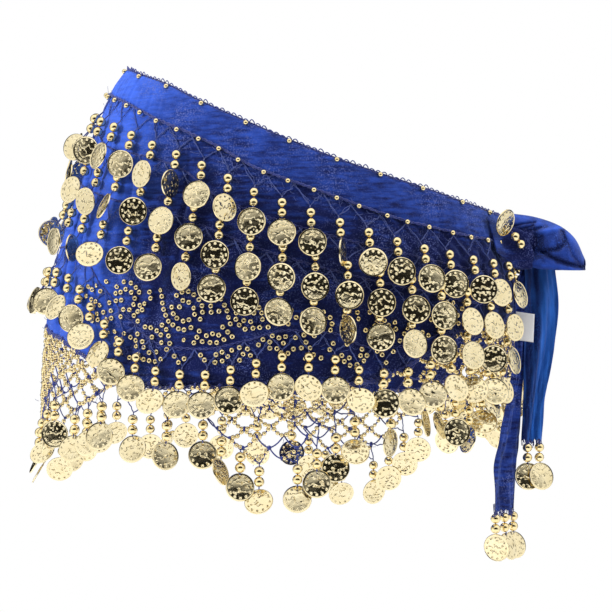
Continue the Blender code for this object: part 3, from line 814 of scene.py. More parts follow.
# %% A bead from a cube's grid
def ball_form(cells):
    """A sphere of radius 1 from six square grids."""
    line = np.tan(np.linspace(-1, 1, cells + 1) * math.pi / 4)
    a, b = np.meshgrid(line, line, indexing="ij")
    one = np.ones_like(a)
    sides = [(a, b, one), (b, a, -one), (one, a, b), (-one, b, a), (b, one, a), (a, -one, b)]
    points = np.concatenate([np.stack(s, -1).reshape(-1, 3) for s in sides])
    points /= np.linalg.norm(points, axis=1, keepdims=True)
    index = np.arange((cells + 1) ** 2).reshape(cells + 1, cells + 1)
    grid = np.stack([index[:-1, :-1], index[1:, :-1], index[1:, 1:], index[:-1, 1:]], -1)
    quads = np.concatenate([grid.reshape(-1, 4) + k * (cells + 1) ** 2 for k in range(6)])
    rounded = np.round(points, 6)
    _, first, same = np.unique(rounded, axis=0, return_index=True, return_inverse=True)
    return Form(points[first], np.ravel(same)[quads], [])


SMALL_BALL = ball_form(2)
LARGE_BALL = ball_form(4)

# %% A stamped coin
COIN_SPOKES = 48
COIN_RIM = 0.965
COIN_RINGS = [0.24, 0.46, 0.62, 0.69, STAMP_RING, 0.86, 0.92, COIN_RIM]
BACK_RINGS = [0.45, STAMP_RING, 0.94]
COIN_EDGE = 0.5 * MM
COIN_DOME = 0.60 * MM
STAMP_HIGH, LINES_HIGH = 0.26 * MM, 0.05 * MM


def relief(radius, angle):
    """Height of the stamp at a place on the coin's face, without its dome."""
    rim = STAMP_HIGH * np.exp(-(((radius - COIN_RIM) / 0.035) ** 2))
    dot = STAMP_HIGH * np.exp(-(((radius - STAMP_RING) / 0.055) ** 2))
    dot = dot * np.maximum(np.cos(COIN_DOTS * angle), 0.0) ** 2
    lines = np.sin(8.5 * radius * np.sin(angle) + 1.2 * np.sin(4.0 * radius * np.cos(angle)))
    return rim + dot + LINES_HIGH * lines * np.clip((STAMP_LINES - radius) / 0.1, 0, 1)


def coin_form(size):
    """A disc in the plane of x and z, stamped through, its face towards y."""
    angle = np.arange(COIN_SPOKES) * 2 * math.pi / COIN_SPOKES
    ways = [(share, 1) for share in COIN_RINGS]
    ways += [(1.0, 1), (1.0, -1)]
    ways += [(share, -1) for share in BACK_RINGS[::-1]]
    points = [np.array([[0.0, COIN_EDGE / 2 + COIN_DOME, 0.0]])]
    for share, side in ways:
        height = relief(share, angle) if share < 1.0 else 0.0 * angle
        radius = size / 2 * share
        away = side * COIN_EDGE / 2 + side * height + COIN_DOME * (1 - share**2)
        points.append(np.stack([radius * np.cos(angle), away, radius * np.sin(angle)], -1))
    points.append(np.array([[0.0, -COIN_EDGE / 2 + COIN_DOME, 0.0]]))
    this = np.arange(COIN_SPOKES)
    following = (this + 1) % COIN_SPOKES
    quads = []
    for k in range(len(ways) - 1):
        a, b = 1 + k * COIN_SPOKES, 1 + (k + 1) * COIN_SPOKES
        quads.append(np.stack([a + this, b + this, b + following, a + following], -1))
    last = 1 + (len(ways) - 1) * COIN_SPOKES
    tris = [
        np.stack([0 * this, 1 + this, 1 + following], -1),
        np.stack([0 * this + last + COIN_SPOKES, last + following, last + this], -1),
    ]
    return Form(np.concatenate(points), np.concatenate(quads), np.concatenate(tris))


COIN = 17.6 * MM
COIN_FORM = coin_form(COIN)
print("bead:", len(LARGE_BALL.quads), "quads; coin:", len(COIN_FORM.quads), "quads")

# %% [markdown]
# ## Where the drops hang
# Each drop has a root on its row, two beads and a coin at fixed depths below it. The rows
# are spaced as the solids are, by the same rule, so every finer drop stands in its solid.

# %% Drops on the coin rows
FIRST_BEAD, BEAD_PITCH, BEAD = 4.3 * MM, 6.4 * MM, 6.2 * MM
BRAID_DROP, BRAID_HEIGHT = 11.5 * MM, 1.4 * MM
COIN_DEPTH = FIRST_BEAD + BEAD_PITCH + BEAD / 2 + COIN / 2
DROP_DEPTHS = (0.0, FIRST_BEAD, FIRST_BEAD + BEAD_PITCH, COIN_DEPTH)
Hang = namedtuple("Hang", "braid beads coins layer")
ON_CLOTH = Hang(1.6 * MM, 4.7 * MM, 8.8 * MM, 2.2 * MM)
ON_NET = Hang(1.8 * MM, 2.6 * MM, 2.4 * MM, 2.2 * MM)
ON_TAIL = Hang(-0.7 * MM, 0.4 * MM, 1.2 * MM, 2.2 * MM)
Row = namedtuple("Row", "number spacing start stop")
ROWS = [
    Row(1, 18.0 * MM, 6.8, 168.5),
    Row(2, 20.0 * MM, 6.0, 166.5),
    Row(3, 20.5 * MM, 5.6, 167.0),
    Row(4, 15.8 * MM, 5.2, 157.0),
]


def even_turns(fine, reached, count):
    """Turns that cut a line into equal steps."""
    return np.interp(reached[-1] * np.arange(count + 1) / count, reached, fine)


def row_turns(row):
    """Turns of a row's drops, evenly spaced along its line on the front side."""
    fine = np.linspace(row.start, row.stop, 801)
    reached = reached_along(frame_at(fine, level(fine, f"row{row.number}"))[0])
    return even_turns(fine, reached, round(reached[-1] / row.spacing))


def hung(turn, height, depth, off):
    """A point of a drop whose braid lies at this turn and height."""
    base, _, _ = frame_at(turn, height - depth)
    _, root_out, _ = frame_at(turn, height)
    lift = (swell_near(turn, height - depth) + off) * slope_stretch(turn, height - depth)
    return base + root_out * lift[..., None]


Drops = namedtuple("Drops", "root bead1 bead2 coin out")


def hip_drops(turn, height, hang):
    """The places of the drops that hang here. Every second coin lies in an outer layer."""
    layer = hang.coins + hang.layer * (np.arange(len(turn)) % 2)
    offs = (hang.braid, hang.beads, hang.beads, layer)
    places = [hung(turn, height, depth, off) for depth, off in zip(DROP_DEPTHS, offs)]
    return Drops(*places, frame_at(turn, height)[1])


# %% Turning a set of drops into gold
def unit(v):
    """Vectors made one long."""
    return v / (np.linalg.norm(v, axis=-1, keepdims=True) + 1e-12)


def turned(v, axis, angle):
    """Vectors turned about unit axes, by an angle for each."""
    c, s = np.cos(angle)[:, None], np.sin(angle)[:, None]
    return v * c + np.cross(axis, v) * s + axis * (axis * v).sum(-1, keepdims=True) * (1 - c)


def coin_axes(drops, swing, tilt):
    """Each coin's three axes. It hangs nearly plumb, swings about its thread and tips.

    At the sides about half of the coins lie across the hip and the others along it.
    """
    plumb = 0.75
    up = unit(unit(drops.bead2 - drops.coin) * (1 - plumb) + np.array([0, 0, plumb]))
    flatten = np.where(rng.random(len(drops.out)) < 0.55, 0.15, 0.75)
    out = unit(drops.out * np.stack([flatten, 1 + 0 * flatten, 1 + 0 * flatten], axis=1))
    face = unit(out - up * (out * up).sum(-1, keepdims=True))
    face = turned(face, up, swing)
    side = np.cross(face, up)
    face = turned(face, side, tilt)
    up = turned(up, side, tilt)
    return np.stack([side, face, up], axis=1)


def drop_swings(count, loose, lean):
    """Most coins lie nearly flat, and a few stand edge-on. Lean tips them upwards."""
    swing = rng.normal(0.0, 0.15, count)
    tilt = rng.normal(lean, 0.10 + 0.35 * lean, count)
    side_on = rng.random(count) < loose
    swing[side_on] += rng.choice([-1, 1], side_on.sum()) * rng.uniform(0.6, 1.25, side_on.sum())
    return swing, tilt


def make_coins(name, places, axes):
    """Coins as one piece, whose stamp attribute holds each coin's plane and own number."""
    batch = Batch()
    batch.stamp(COIN_FORM, places, axes)
    coins = make_piece(name, batch, GOLD_COIN, 50.0)
    plane = np.zeros((len(places), len(COIN_FORM.points), 3), np.float32)
    plane[:, :, :2] = COIN_FORM.points[:, [0, 2]] / (COIN / 2)
    plane[:, :, 2] = rng.uniform(0, 6.28, len(places))[:, None]
    attribute = coins.data.attributes.new("stamp", "FLOAT_VECTOR", "POINT")
    attribute.data.foreach_set("vector", plane.ravel())
    return coins


def make_drops(name, drops, loose, lean, *nodes):
    """The beads and the coins of one row, as two gold pieces."""
    batch = Batch()
    count = len(drops.root)
    radii = BEAD / 2 * rng.uniform(0.98, 1.05, count)[:, None, None]
    batch.balls(LARGE_BALL, drops.bead1, radii)
    batch.balls(LARGE_BALL, drops.bead2, radii)
    make_piece(f"{name}_beads", batch, GOLD_BEAD)
    axes = coin_axes(drops, *drop_swings(count, loose, lean))
    coins = make_coins(f"{name}_coins", drops.coin, axes)
    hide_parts(*nodes)
    print(f"{name}: {count} drops")


# %% The four coin rows
ROW_DROPS = {}
for row in ROWS:
    half = row_turns(row)
    both = np.concatenate([-half[::-1], half])
    line = level(both, f"row{row.number}")
    ROW_DROPS[row.number] = both, hip_drops(both, line - BRAID_DROP, ON_CLOTH)
    solid = f"coin_row_{row.number}"
    lean = 0.22 if row.number == 4 else 0.0
    nodes = f"{solid}_front", f"{solid}_back"
    make_drops(solid, ROW_DROPS[row.number][1], 0.12, lean, *nodes)

# %% [markdown]
# ## The crochet of the coin rows
# Each row is a crocheted chain, with threads that zigzag from it down to the drops. A
# chain could be looped stitch by stitch, but from a step away it reads as two strands that
# cross, so two waving tubes run side by side. The zigzags wander a little and finer ones
# run beside them, as in worn crochet, and fine fibres stand out of each row.

# %% Chain stitches along a line
STITCH = 4.0 * MM
CHAIN_RADIUS = 0.42 * MM


def along_line(column, start, stop, pitch):
    """Turns from start to stop that are evenly spaced on a line of the cut."""
    fine = np.linspace(start, stop, 1601)
    reached = reached_along(frame_at(fine, level(fine, column))[0])
    return even_turns(fine, reached, max(int(reached[-1] / pitch), 2))


def chain(batch, column, off, radius=CHAIN_RADIUS, drop=0.0):
    """Two waving strands that cross once for each stitch."""
    turn = along_line(column, -CLOTH_END, CLOTH_END, STITCH / 4)
    phase = np.arange(len(turn)) * 2 * math.pi / 4
    _, out, _ = frame_at(turn, level(turn, column))
    for sense in (1, -1):
        wave = sense * 0.55 * MM * np.sin(phase / 2)
        lift = off + 0.25 * MM * np.cos(phase)
        path = on_cloth(turn, level(turn, column) - drop + wave, lift)
        batch.tubes(path[None], radius, out[None])


# %% Threads, cores and fibres
UPWARD = np.array([0.0, 0.0, 1.0])
FIBRE = 0.11 * MM


def v_threads(batch, tops, roots, normals, radius, sag=0.5 * MM, steps=5):
    """Threads from tops to roots with a little sag."""
    share = np.linspace(0, 1, steps)[None, :, None]
    paths = tops[:, None, :] * (1 - share) + roots[:, None, :] * share
    paths = paths - UPWARD * sag * np.sin(np.pi * share)
    batch.tubes(paths, radius, normals[:, None, :])


def drop_cores(batch, drops, radius=0.38 * MM):
    """The thread on which each drop's beads and coin are strung."""
    top = drops.coin + unit(drops.bead2 - drops.coin) * (COIN / 2 - 1.4 * MM)
    hook = top + drops.out * 0.8 * MM
    paths = np.stack([drops.root, drops.bead1, drops.bead2, (top + hook) / 2, hook], axis=1)
    batch.tubes(paths, radius, drops.out[:, None, :])


Loose = namedtuple("Loose", "radius stray steps")


def loose_threads(batch, tops, roots, normals, loose):
    """Threads that wander on their way, as worn crochet does."""
    share = np.linspace(0, 1, loose.steps)[None, :, None]
    paths = tops[:, None, :] * (1 - share) + roots[:, None, :] * share
    wander = rng.normal(0, loose.stray, paths.shape) * np.sin(np.pi * share)
    outward = (wander * normals[:, None, :]).sum(-1, keepdims=True)
    paths = paths + wander - normals[:, None, :] * outward * 0.8
    batch.tubes(paths, loose.radius, normals[:, None, :])


def fuzz(batch, column, count):
    """Fine fibres that stand out of a row's crochet."""
    turn = rng.uniform(-CLOTH_END, CLOTH_END, count)
    fall = rng.uniform(-1.0, 10.0, count) * MM
    height = level(turn, column) - fall
    starts = on_cloth(turn, height, rng.uniform(1.2, 2.4, count) * MM)
    _, out, along = frame_at(turn, height)
    reach = rng.normal(0.0, 2.2 * MM, (count, 2))
    ends = starts + along * reach[:, :1] + UPWARD * reach[:, 1:] + out * 0.5 * MM
    v_threads(batch, starts, ends, out, FIBRE, sag=0.4 * MM, steps=4)


# %% The rows' chains and zigzags
RowCrochet = namedtuple("RowCrochet", "chain_off chain_radius fibres")
FIRST_ROW = RowCrochet(2.6 * MM, CHAIN_RADIUS, 420)  # it also holds the turned hem down
OTHER_ROWS = RowCrochet(1.1 * MM, 0.26 * MM, 160)
ZIGZAGS = [Loose(0.27 * MM, 0.45 * MM, 7), Loose(0.20 * MM, 0.90 * MM, 5)]
row_threads = Batch()
row_chains = Batch()
for row in ROWS:
    both, drops = ROW_DROPS[row.number]
    column = f"row{row.number}"
    work = FIRST_ROW if row.number == 1 else OTHER_ROWS
    chain(row_chains, column, work.chain_off, work.chain_radius)
    half_gap = abs(np.diff(both)).mean() / 2
    for sense in (-1, 1):
        start = both + sense * half_gap * rng.uniform(0.75, 1.2, len(both))
        start = np.clip(start, -CLOTH_END, CLOTH_END)
        tops = on_cloth(start, level(start, column) - 0.6 * MM, 1.8 * MM)
        for loose in ZIGZAGS:
            loose_threads(row_threads, tops, drops.root, drops.out, loose)
    fuzz(row_threads, column, work.fibres)
    drop_cores(row_chains, drops)
make_piece("row_zigzags", row_threads, LIGHT_THREAD)
make_piece("row_chains", row_chains, THREAD)

# %% Loops and strands of the top edge
PICOT, PICOT_HIGH = 4.2 * MM, 2.4 * MM
picots = Batch()
turn = along_line("top", -CLOTH_END, CLOTH_END, PICOT)
_, out, _ = frame_at(turn, level(turn, "top"))
starts = on_hips(turn, level(turn, "top") + 1.2 * MM, 0.9 * MM)
share = np.linspace(0, 1, 6)[None, :, None]
high = rng.uniform(0.5, 1.25, len(starts) - 1)[:, None, None] * PICOT_HIGH
rise = UPWARD * high * np.sin(np.pi * share) ** 0.7
loops = starts[:-1, None] * (1 - share) + starts[1:, None] * share + rise
picots.tubes(loops, 0.36 * MM, out[:-1, None])
turn = along_line("top", -CLOTH_END, CLOTH_END, STITCH / 4)
_, out, _ = frame_at(turn, level(turn, "top"))
for lift in (0.0, 0.8):
    wobble = 0.35 * MM * np.sin(np.arange(len(turn)) * math.pi / 2 + lift * 4)
    strand = on_hips(turn, level(turn, "top") + (1.0 + lift) * MM, 0.9 * MM + wobble)
    picots.tubes(strand[None], 0.4 * MM, out[None])
make_piece("picot_trim", picots, THREAD)

# %% Small beads along the top edge and the first row
EdgeBeads = namedtuple("EdgeBeads", "column pitch size off shift")
EDGE_BEADS = [
    EdgeBeads("top", 29 * MM, 3.3 * MM, 2.6 * MM, 0.6 * MM),
    EdgeBeads("row1", 15.6 * MM, 3.5 * MM, 4.0 * MM, -1.0 * MM),
]
small_beads = Batch()
for line in EDGE_BEADS:
    turn = along_line(line.column, -168.0, 168.0, line.pitch)
    turn = turn + rng.uniform(-0.6, 0.6, len(turn))
    places = on_hips(turn, level(turn, line.column) + line.shift, line.off)
    small_beads.balls(ball_form(3), places, line.size / 2)
make_piece("edge_beads", small_beads, GOLD_BEAD)

# %% [markdown]
# ## The beaded net
# The net is a lattice of crocheted threads that carry up to three seed beads on each side
# of a cell, and bare threads at its lower edge that run down to the drops. The solid net
# has cells half as large again, because its faces are limited. Here they have the real
# size, and the drops still hang where the solid net's lower corners are.

# %% The solid net's lower corners
HALF_CELLS = 35
CELL_STEP = 9.0 * MM
NET_SEAM = 0.4 * MM
NET_JOINTS = [-35, -27, -15, 15, 27, 35]


def hem_stations(count):
    """Turns that cut the hem into equal steps, from the middle to the cloth's end."""
    fine = np.linspace(0.0, CLOTH_END, 601)
    reached = reached_along(frame_at(fine, level(fine, "hem"))[0][:, :2])
    return even_turns(fine, reached, count)


STATIONS = hem_stations(HALF_CELLS)


def turn_at_cell(cell):
    """The turn at a column of the solid net."""
    turn = np.interp(np.abs(cell), np.arange(HALF_CELLS + 1), STATIONS)
    return np.copysign(turn, cell)


def lattice(joints, step, depth_at, spare):
    """Whole cells (column, row) of the panels between joints, each row under the last."""
    cells = set()
    for first, last in zip(joints, joints[1:]):
        kept = {(c, 1) for c in range(first + 1, last, 2)}
        row, found = 2, kept
        while found:
            kept |= found
            found = {
                (c, row)
                for c in range(first + row, last - row + 1, 2)
                if {(c - 1, row - 1), (c + 1, row - 1)} <= kept
                and (row + spare) * step < depth_at(c)
            }
            row += 1
        cells |= kept
    return cells


def solid_depth(cell):
    """How far the solid net may reach below the hem at a column."""
    turn = abs(float(turn_at_cell(cell)))
    return float(level(turn, "hem") - level(turn, "net"))


SOLID_CELLS = lattice(NET_JOINTS, CELL_STEP, solid_depth, 0.6)


def lowest(cell):
    """The row of the solid net's lowest corner at a column."""
    tips = [row + 1 for c, row in SOLID_CELLS if c == cell]
    sides = [row for c, row in SOLID_CELLS if abs(c - cell) == 1]
    return max(tips + sides)


def lower_corners():
    """Columns and heights of the fringe's drops on the front half."""
    found = []
    for cell in range(1, HALF_CELLS):
        row = lowest(cell)
        if lowest(cell - 1) > row and lowest(cell + 1) > row:
            continue
        found.append((cell, row))
    return np.array(found, float)


corners = lower_corners()
print("solid net cells:", len(SOLID_CELLS), "drops each side:", len(corners))

# %% The fringe of the net
corner_turns = turn_at_cell(corners[:, 0])
fringe_turns = np.concatenate([-corner_turns[::-1], corner_turns])
fringe_rows = np.concatenate([corners[::-1, 1], corners[:, 1]])
fringe_heights = level(fringe_turns, "hem") - NET_SEAM - fringe_rows * CELL_STEP - BRAID_HEIGHT
FRINGE = hip_drops(fringe_turns, fringe_heights, ON_NET)
make_drops("hem_fringe", FRINGE, 0.16, 0.28, "hem_fringe_front", "hem_fringe_back")

# %% The fine net
NET_HALF = 52
FINE_JOINTS = [-52, -40, -22, 22, 40, 52]
FINE_STEP = 6.3 * MM
NET_OFF = 0.6 * MM
NET_TOP = 0.6 * MM


def fine_turn(cell):
    """The turn at a column of the fine net."""
    return turn_at_cell(np.asarray(cell, float) * HALF_CELLS / NET_HALF)


def fine_depth(cell):
    """How far the fine net may reach at a column: to a little above the fringe."""
    turn = float(fine_turn(cell))
    floor = np.interp(turn, fringe_turns, fringe_heights)
    return float(level(turn, "hem") - floor) - 1.0 * MM


FINE_CELLS = lattice(FINE_JOINTS, FINE_STEP, fine_depth, 1.0)


def net_point(cell, row):
    """A corner of the net, a little out of its even place, as crochet is."""
    cell, row = np.asarray(cell, float), np.asarray(row, float)
    turn = fine_turn(cell)
    turn = turn + 0.34 * np.sin(2.3 * cell + 4.1 * row) * (row > 0)
    uneven = 0.9 * MM * np.cos(3.7 * cell - 1.9 * row) * (row > 0)
    return on_hips(turn, level(turn, "hem") + NET_TOP - row * FINE_STEP + uneven, NET_OFF)


sides = set()
for c, r in FINE_CELLS:
    rim = [(c, r - 1), (c + 1, r), (c, r + 1), (c - 1, r)]
    for k in range(4):
        sides.add(tuple(sorted((rim[k], rim[(k + 1) % 4]))))
sides = np.array(sorted(sides), float)
corner_list = sorted({tuple(p) for s in sides for p in s})
print("fine net:", len(FINE_CELLS), "cells,", len(sides), "sides,", len(corner_list), "corners")

# %% Threads and knots of the net
NET_THREAD, SIDE_SAG = 0.46 * MM, 1.5 * MM
net_threads = Batch()
ends_a, ends_b = net_point(*sides[:, 0].T), net_point(*sides[:, 1].T)
_, side_out, _ = frame_at(fine_turn(sides.mean(axis=1)[:, 0]), ends_a[:, 2])


def side_paths(steps):
    """Points on every side of the net, at these shares of its way."""
    share = np.asarray(steps, float)[None, :, None]
    paths = ends_a[:, None] * (1 - share) + ends_b[:, None] * share
    return paths - UPWARD * SIDE_SAG * 4 * share * (1 - share)


net_threads.tubes(side_paths(np.linspace(0, 1, 6)), NET_THREAD, side_out[:, None, :])
knots = net_point(*np.array(corner_list).T)
net_threads.balls(SMALL_BALL, knots, rng.uniform(0.9, 1.8, (len(knots), 1, 3)) * MM)
for row_off in (0.0, 1.0):
    chain(net_threads, "hem", (1.0 + 0.4 * row_off) * MM, drop=(0.4 + row_off) * MM)

# %% Seed beads of the net
net_beads = Batch()
SEED = 2.9 * MM
PLAIN_SHARE = 0.45  # how many of the lowest sides carry no beads
lower_end = sides[:, :, 1].max(axis=1)
deepest = {c: max(r for cc, r in corner_list if cc == c) for c, _ in corner_list}
bare = np.array([max(deepest[a[0]] if a[1] >= b[1] else deepest[b[0]], 0) for a, b in sides])
plain_side = (lower_end >= bare) & (rng.random(len(sides)) < PLAIN_SHARE)
strung = side_paths([0.20, 0.50, 0.80])[~plain_side]
strung = strung + side_out[~plain_side][:, None] * 0.3 * MM
keep = rng.random(strung.shape[:2]) < 0.96
places = strung[keep] + rng.normal(0, 0.12 * MM, (keep.sum(), 3))
net_beads.balls(SMALL_BALL, places, rng.uniform(0.92, 1.1, len(places))[:, None, None] * SEED / 2)
print("seed beads on the net:", len(places))

# %% Bare threads from the net down to the fringe
BARE_THREAD = Loose(0.38 * MM, 0.35 * MM, 7)
NET_FIBRES = 500
bottoms = np.array([(c, deepest[c]) for c in sorted(deepest)], float)
bottom_turns = fine_turn(bottoms[:, 0])
bottom_points = net_point(*bottoms.T)
tops, roots, normals = [], [], []
for k, (turn, height) in enumerate(zip(fringe_turns, fringe_heights)):
    reach = np.abs(bottom_turns - turn) * MM_PER_TURN
    fall = bottom_points[:, 2] - height
    score = np.hypot(reach, fall) + np.where(fall < 0.5 * MM, 1.0, 0.0)
    for best in np.argsort(score)[:2]:
        tops.append(bottom_points[best])
        roots.append(FRINGE.root[k])
        normals.append(FRINGE.out[k])
loose_threads(net_threads, np.array(tops), np.array(roots), np.array(normals), BARE_THREAD)
drop_cores(net_threads, FRINGE)
pick = rng.integers(0, len(knots), NET_FIBRES)
fibre_starts = knots[pick] + rng.normal(0, 1.2 * MM, (len(pick), 3))
fibre_ends = fibre_starts + rng.normal(0, 1.6 * MM, (len(pick), 3))
_, fibre_out, _ = frame_at(fine_turn(np.array(corner_list)[pick, 0]), fibre_starts[:, 2])
v_threads(net_threads, fibre_starts, fibre_ends, fibre_out, 0.12 * MM, sag=0.3 * MM, steps=4)
net = make_piece("net_threads", net_threads, THREAD)
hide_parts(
    "net_middle", "net_side_front", "net_side_back", "net_end_front", "net_end_back"
)
make_piece("net_seed_beads", net_beads, GOLD_BEAD)

# %% [markdown]
# ## The seed-bead scrolls
# Small gold beads are sewn to the velvet in scrolls between the last coin rows and the
# hem. It is a general scroll: curls above and below a wavy stem, with dots strewn between
# them. It is worked out on the flat, along and up, and laid on the cloth. Each bead is a
# short ring whose hole faces outwards, so that it shows a dark middle.

# %% The scroll's band and its bead
SEED_STEP = 4.1 * MM
SEED_GAP = 3.6 * MM
CURL_STEP = 21.0 * MM
Band = namedtuple("Band", "turn centre half_height")
BANDS = [
    Band(46, -96, 8),
    Band(56, -105, 20),
    Band(66, -112, 27),
    Band(80, -117, 26),
    Band(92, -117, 20),
    Band(104, -118, 17),
    Band(116, -124, 17),
    Band(130, -121, 14),
    Band(148, -105, 8),
]


def ring_form(size, around=9, across=5):
    """A short ring bead whose hole faces y, of an outer radius of 1 times size."""
    a = np.arange(around)[:, None] * 2 * math.pi / around
    b = np.arange(across)[None, :] * 2 * math.pi / across
    radius = size * (0.66 + 0.34 * np.cos(b))
    points = np.stack(
        [radius * np.cos(a), size * 0.42 * np.sin(b) + 0 * a, radius * np.sin(a)], -1
    ).reshape(-1, 3)
    index = np.arange(around * across).reshape(around, across)
    right = np.roll(index, -1, axis=0)
    quads = np.stack(
        [index, np.roll(index, -1, axis=1), np.roll(right, -1, axis=1), right], -1
    ).reshape(-1, 4)
    return Form(points, quads, [])


def spaced(run, pitch):
    """Points evenly spaced along a run."""
    reached = reached_along(run)
    at = np.arange(0.0, reached[-1], pitch)
    return np.stack([np.interp(at, reached, run[:, k]) for k in range(run.shape[1])], -1)


# %% Where the scroll's beads lie
SCROLL_LEVEL = -0.115  # where the scroll's length is measured round the hips
SCROLL_DOTS = 110


def scroll_places():
    """Turns and heights of the beads on the front half: curls, a wavy stem and dots."""
    fine = np.linspace(BANDS[0].turn, BANDS[-1].turn, 800)
    reached = reached_along(frame_at(fine, SCROLL_LEVEL)[0])

    def half_at(along):
        turn = np.interp(along, reached, fine)
        return np.interp(turn, [b.turn for b in BANDS], [b.half_height * MM for b in BANDS])

    runs = []
    for k in range(int(reached[-1] / CURL_STEP)):
        middle = (k + 0.5) * CURL_STEP
        sense = 1 if k % 2 else -1
        size = 0.52 * float(half_at(middle))
        a = np.linspace(0.0, 4.1 * math.pi, 200)
        radius = size * (1.0 - 0.80 * a / a[-1])
        away = a * sense + rng.uniform(0, 6.28)
        lift = sense * 0.44 * float(half_at(middle))
        runs.append(np.stack([middle + radius * np.cos(away), lift + radius * np.sin(away)], -1))
    along = np.linspace(0.0, reached[-1], 600)
    wave = 0.8 * half_at(along) * np.sin(math.pi * along / CURL_STEP)
    runs.append(np.stack([along, wave], -1))
    found = [spaced(run, SEED_STEP) for run in runs]
    dots = rng.uniform(0, 1, (SCROLL_DOTS, 2))
    dots = np.stack([dots[:, 0] * reached[-1], (2 * dots[:, 1] - 1)], -1)
    dots[:, 1] *= half_at(dots[:, 0])
    flat = np.concatenate(found + [dots])
    flat = flat + rng.normal(0, 0.35 * MM, flat.shape)
    turn = np.interp(flat[:, 0], reached, fine)
    centre = np.interp(turn, [b.turn for b in BANDS], [b.centre * MM for b in BANDS])
    return np.stack([turn, centre + flat[:, 1]], -1)


# %% The scroll beads on both sides
places = scroll_places()
kept = []
for turn, height in places:
    if height < level(turn, "hem") + 3 * MM or abs(height - level(turn, "row4")) < 1.5 * MM:
        continue
    if all(np.hypot((turn - t) * MM_PER_TURN, height - h) > SEED_GAP for t, h in kept):
        kept.append((turn, height))
kept = np.array(kept)
scroll_turns = np.concatenate([kept[:, 0], -kept[:, 0]])
scroll_heights = np.concatenate([kept[:, 1], kept[:, 1] - back_dip(-kept[:, 0])])
scroll_beads = Batch()
centres = on_cloth(scroll_turns, scroll_heights, CLOTH_THICK + 0.9 * MM)
_, face, aside = frame_at(scroll_turns, scroll_heights)
hole = unit(face + rng.normal(0, 0.22, face.shape))
aside = unit(aside - hole * (aside * hole).sum(-1, keepdims=True))
ring_axes = np.stack([aside, hole, np.cross(aside, hole)], axis=1)
scroll_beads.stamp(ring_form(1.75 * MM), centres, ring_axes)
make_piece("scroll_beads", scroll_beads, GOLD_BEAD)
print("scroll beads:", len(centres))

# %% [markdown]
# ## The knot and the free ends
# The ends of the wedge narrow, cross in a half knot and fall as two tails, one of satin
# and one of thin velvet, while a fold of the satin stands over the knot. Each is a swept
# sheet or body: sections in a short table, a finer curve between them, and creases whose
# depth grows away from the pull of the knot. Places are counted from the knot's middle.

# %% Places by the knot
KNOT_TURN, KNOT_HEIGHT, KNOT_OUT = 180.0, -59.5 * MM, 16.5 * MM
KNOT_BASE, KNOT_NORMAL, KNOT_ALONG = frame_at(KNOT_TURN, KNOT_HEIGHT)


def by_knot(along, out, height):
    """Along runs to the front, out runs away from the hip. All may be arrays."""
    along, out, height = np.broadcast_arrays(along, out, height)
    flat = KNOT_BASE * np.array([1.0, 1.0, 0.0])
    point = flat - KNOT_ALONG * along[..., None] + KNOT_NORMAL * out[..., None]
    return point + UPWARD * height[..., None]


def column_of(rings, field, share):
    """A table's column, in metres, at shares of the way through its rings."""
    values = [getattr(r, field) * MM for r in rings]
    return smooth_between(np.linspace(0, 1, len(rings)), values, share)


# %% The knot
KNOT_RINGS, KNOT_AROUND = 44, 72


def knot_points():
    """Rings of a ball with three soft wraps, from below to the top."""
    lift = np.linspace(-math.pi / 2, math.pi / 2, KNOT_RINGS + 1)[:, None]
    turn = np.linspace(0, 2 * math.pi, KNOT_AROUND, endpoint=False)[None, :]
    swing, rise = np.cos(lift), np.sin(lift)
    wrap = 3.0 * turn + 2.2 * lift
    bulge = 1.0 + 0.07 * np.cos(wrap) * swing
    fine = 0.02 * np.cos(9.0 * turn + 5.0 * lift + 1.5 * np.sin(2 * turn)) * swing
    fine -= 0.10 * np.exp(-((np.sin(wrap / 2 + 0.6) / 0.22) ** 2)) * swing
    bulge = bulge + fine
    return by_knot(
        10.5 * MM * swing * np.cos(turn) * bulge,
        KNOT_OUT + 12.5 * MM * swing * np.sin(turn) * bulge,
        KNOT_HEIGHT + 12.5 * MM * rise,
    )


def closed_body(batch, points):
    """Joins rings (ring, place, xyz) into walls, with the end rings filled."""
    rings, around = points.shape[:2]
    index = np.arange(rings * around).reshape(rings, around)
    after = np.roll(index, -1, axis=1)
    walls = np.stack([index[:-1], after[:-1], after[1:], index[1:]], -1).reshape(-1, 4)
    middles = np.stack([points[0].mean(0), points[-1].mean(0)])
    size = rings * around
    first_end = np.stack([after[0], index[0], 0 * index[0] + size], -1)
    last_end = np.stack([index[-1], after[-1], 0 * index[0] + size + 1], -1)
    batch.add(np.concatenate([points.reshape(-1, 3), middles]), walls, first_end, last_end)


knot_batch = Batch()
closed_body(knot_batch, knot_points()[1:-1])
knot_piece = make_piece("knot_wraps", knot_batch, VELVET)
# painted shade: the knot's colour is held dark all over
paint_light_and_shade(knot_piece, np.full(knot_batch.size, -0.3))
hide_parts("knot")

# %% The ties
TieRing = namedtuple("TieRing", "turn top bottom out thick")
TIE = [
    TieRing(164.5, -46.0, -69.0, 2.7, 1.1),
    TieRing(168.5, -48.0, -73.0, 3.0, 2.0),
    TieRing(171.5, -52.0, -79.0, 5.2, 6.0),
    TieRing(173.4, -54.0, -79.5, 10.5, 9.5),
    TieRing(174.9, -61.0, -74.0, 13.5, 4.5),
]


TIE_RINGS, TIE_AROUND = 48, 72


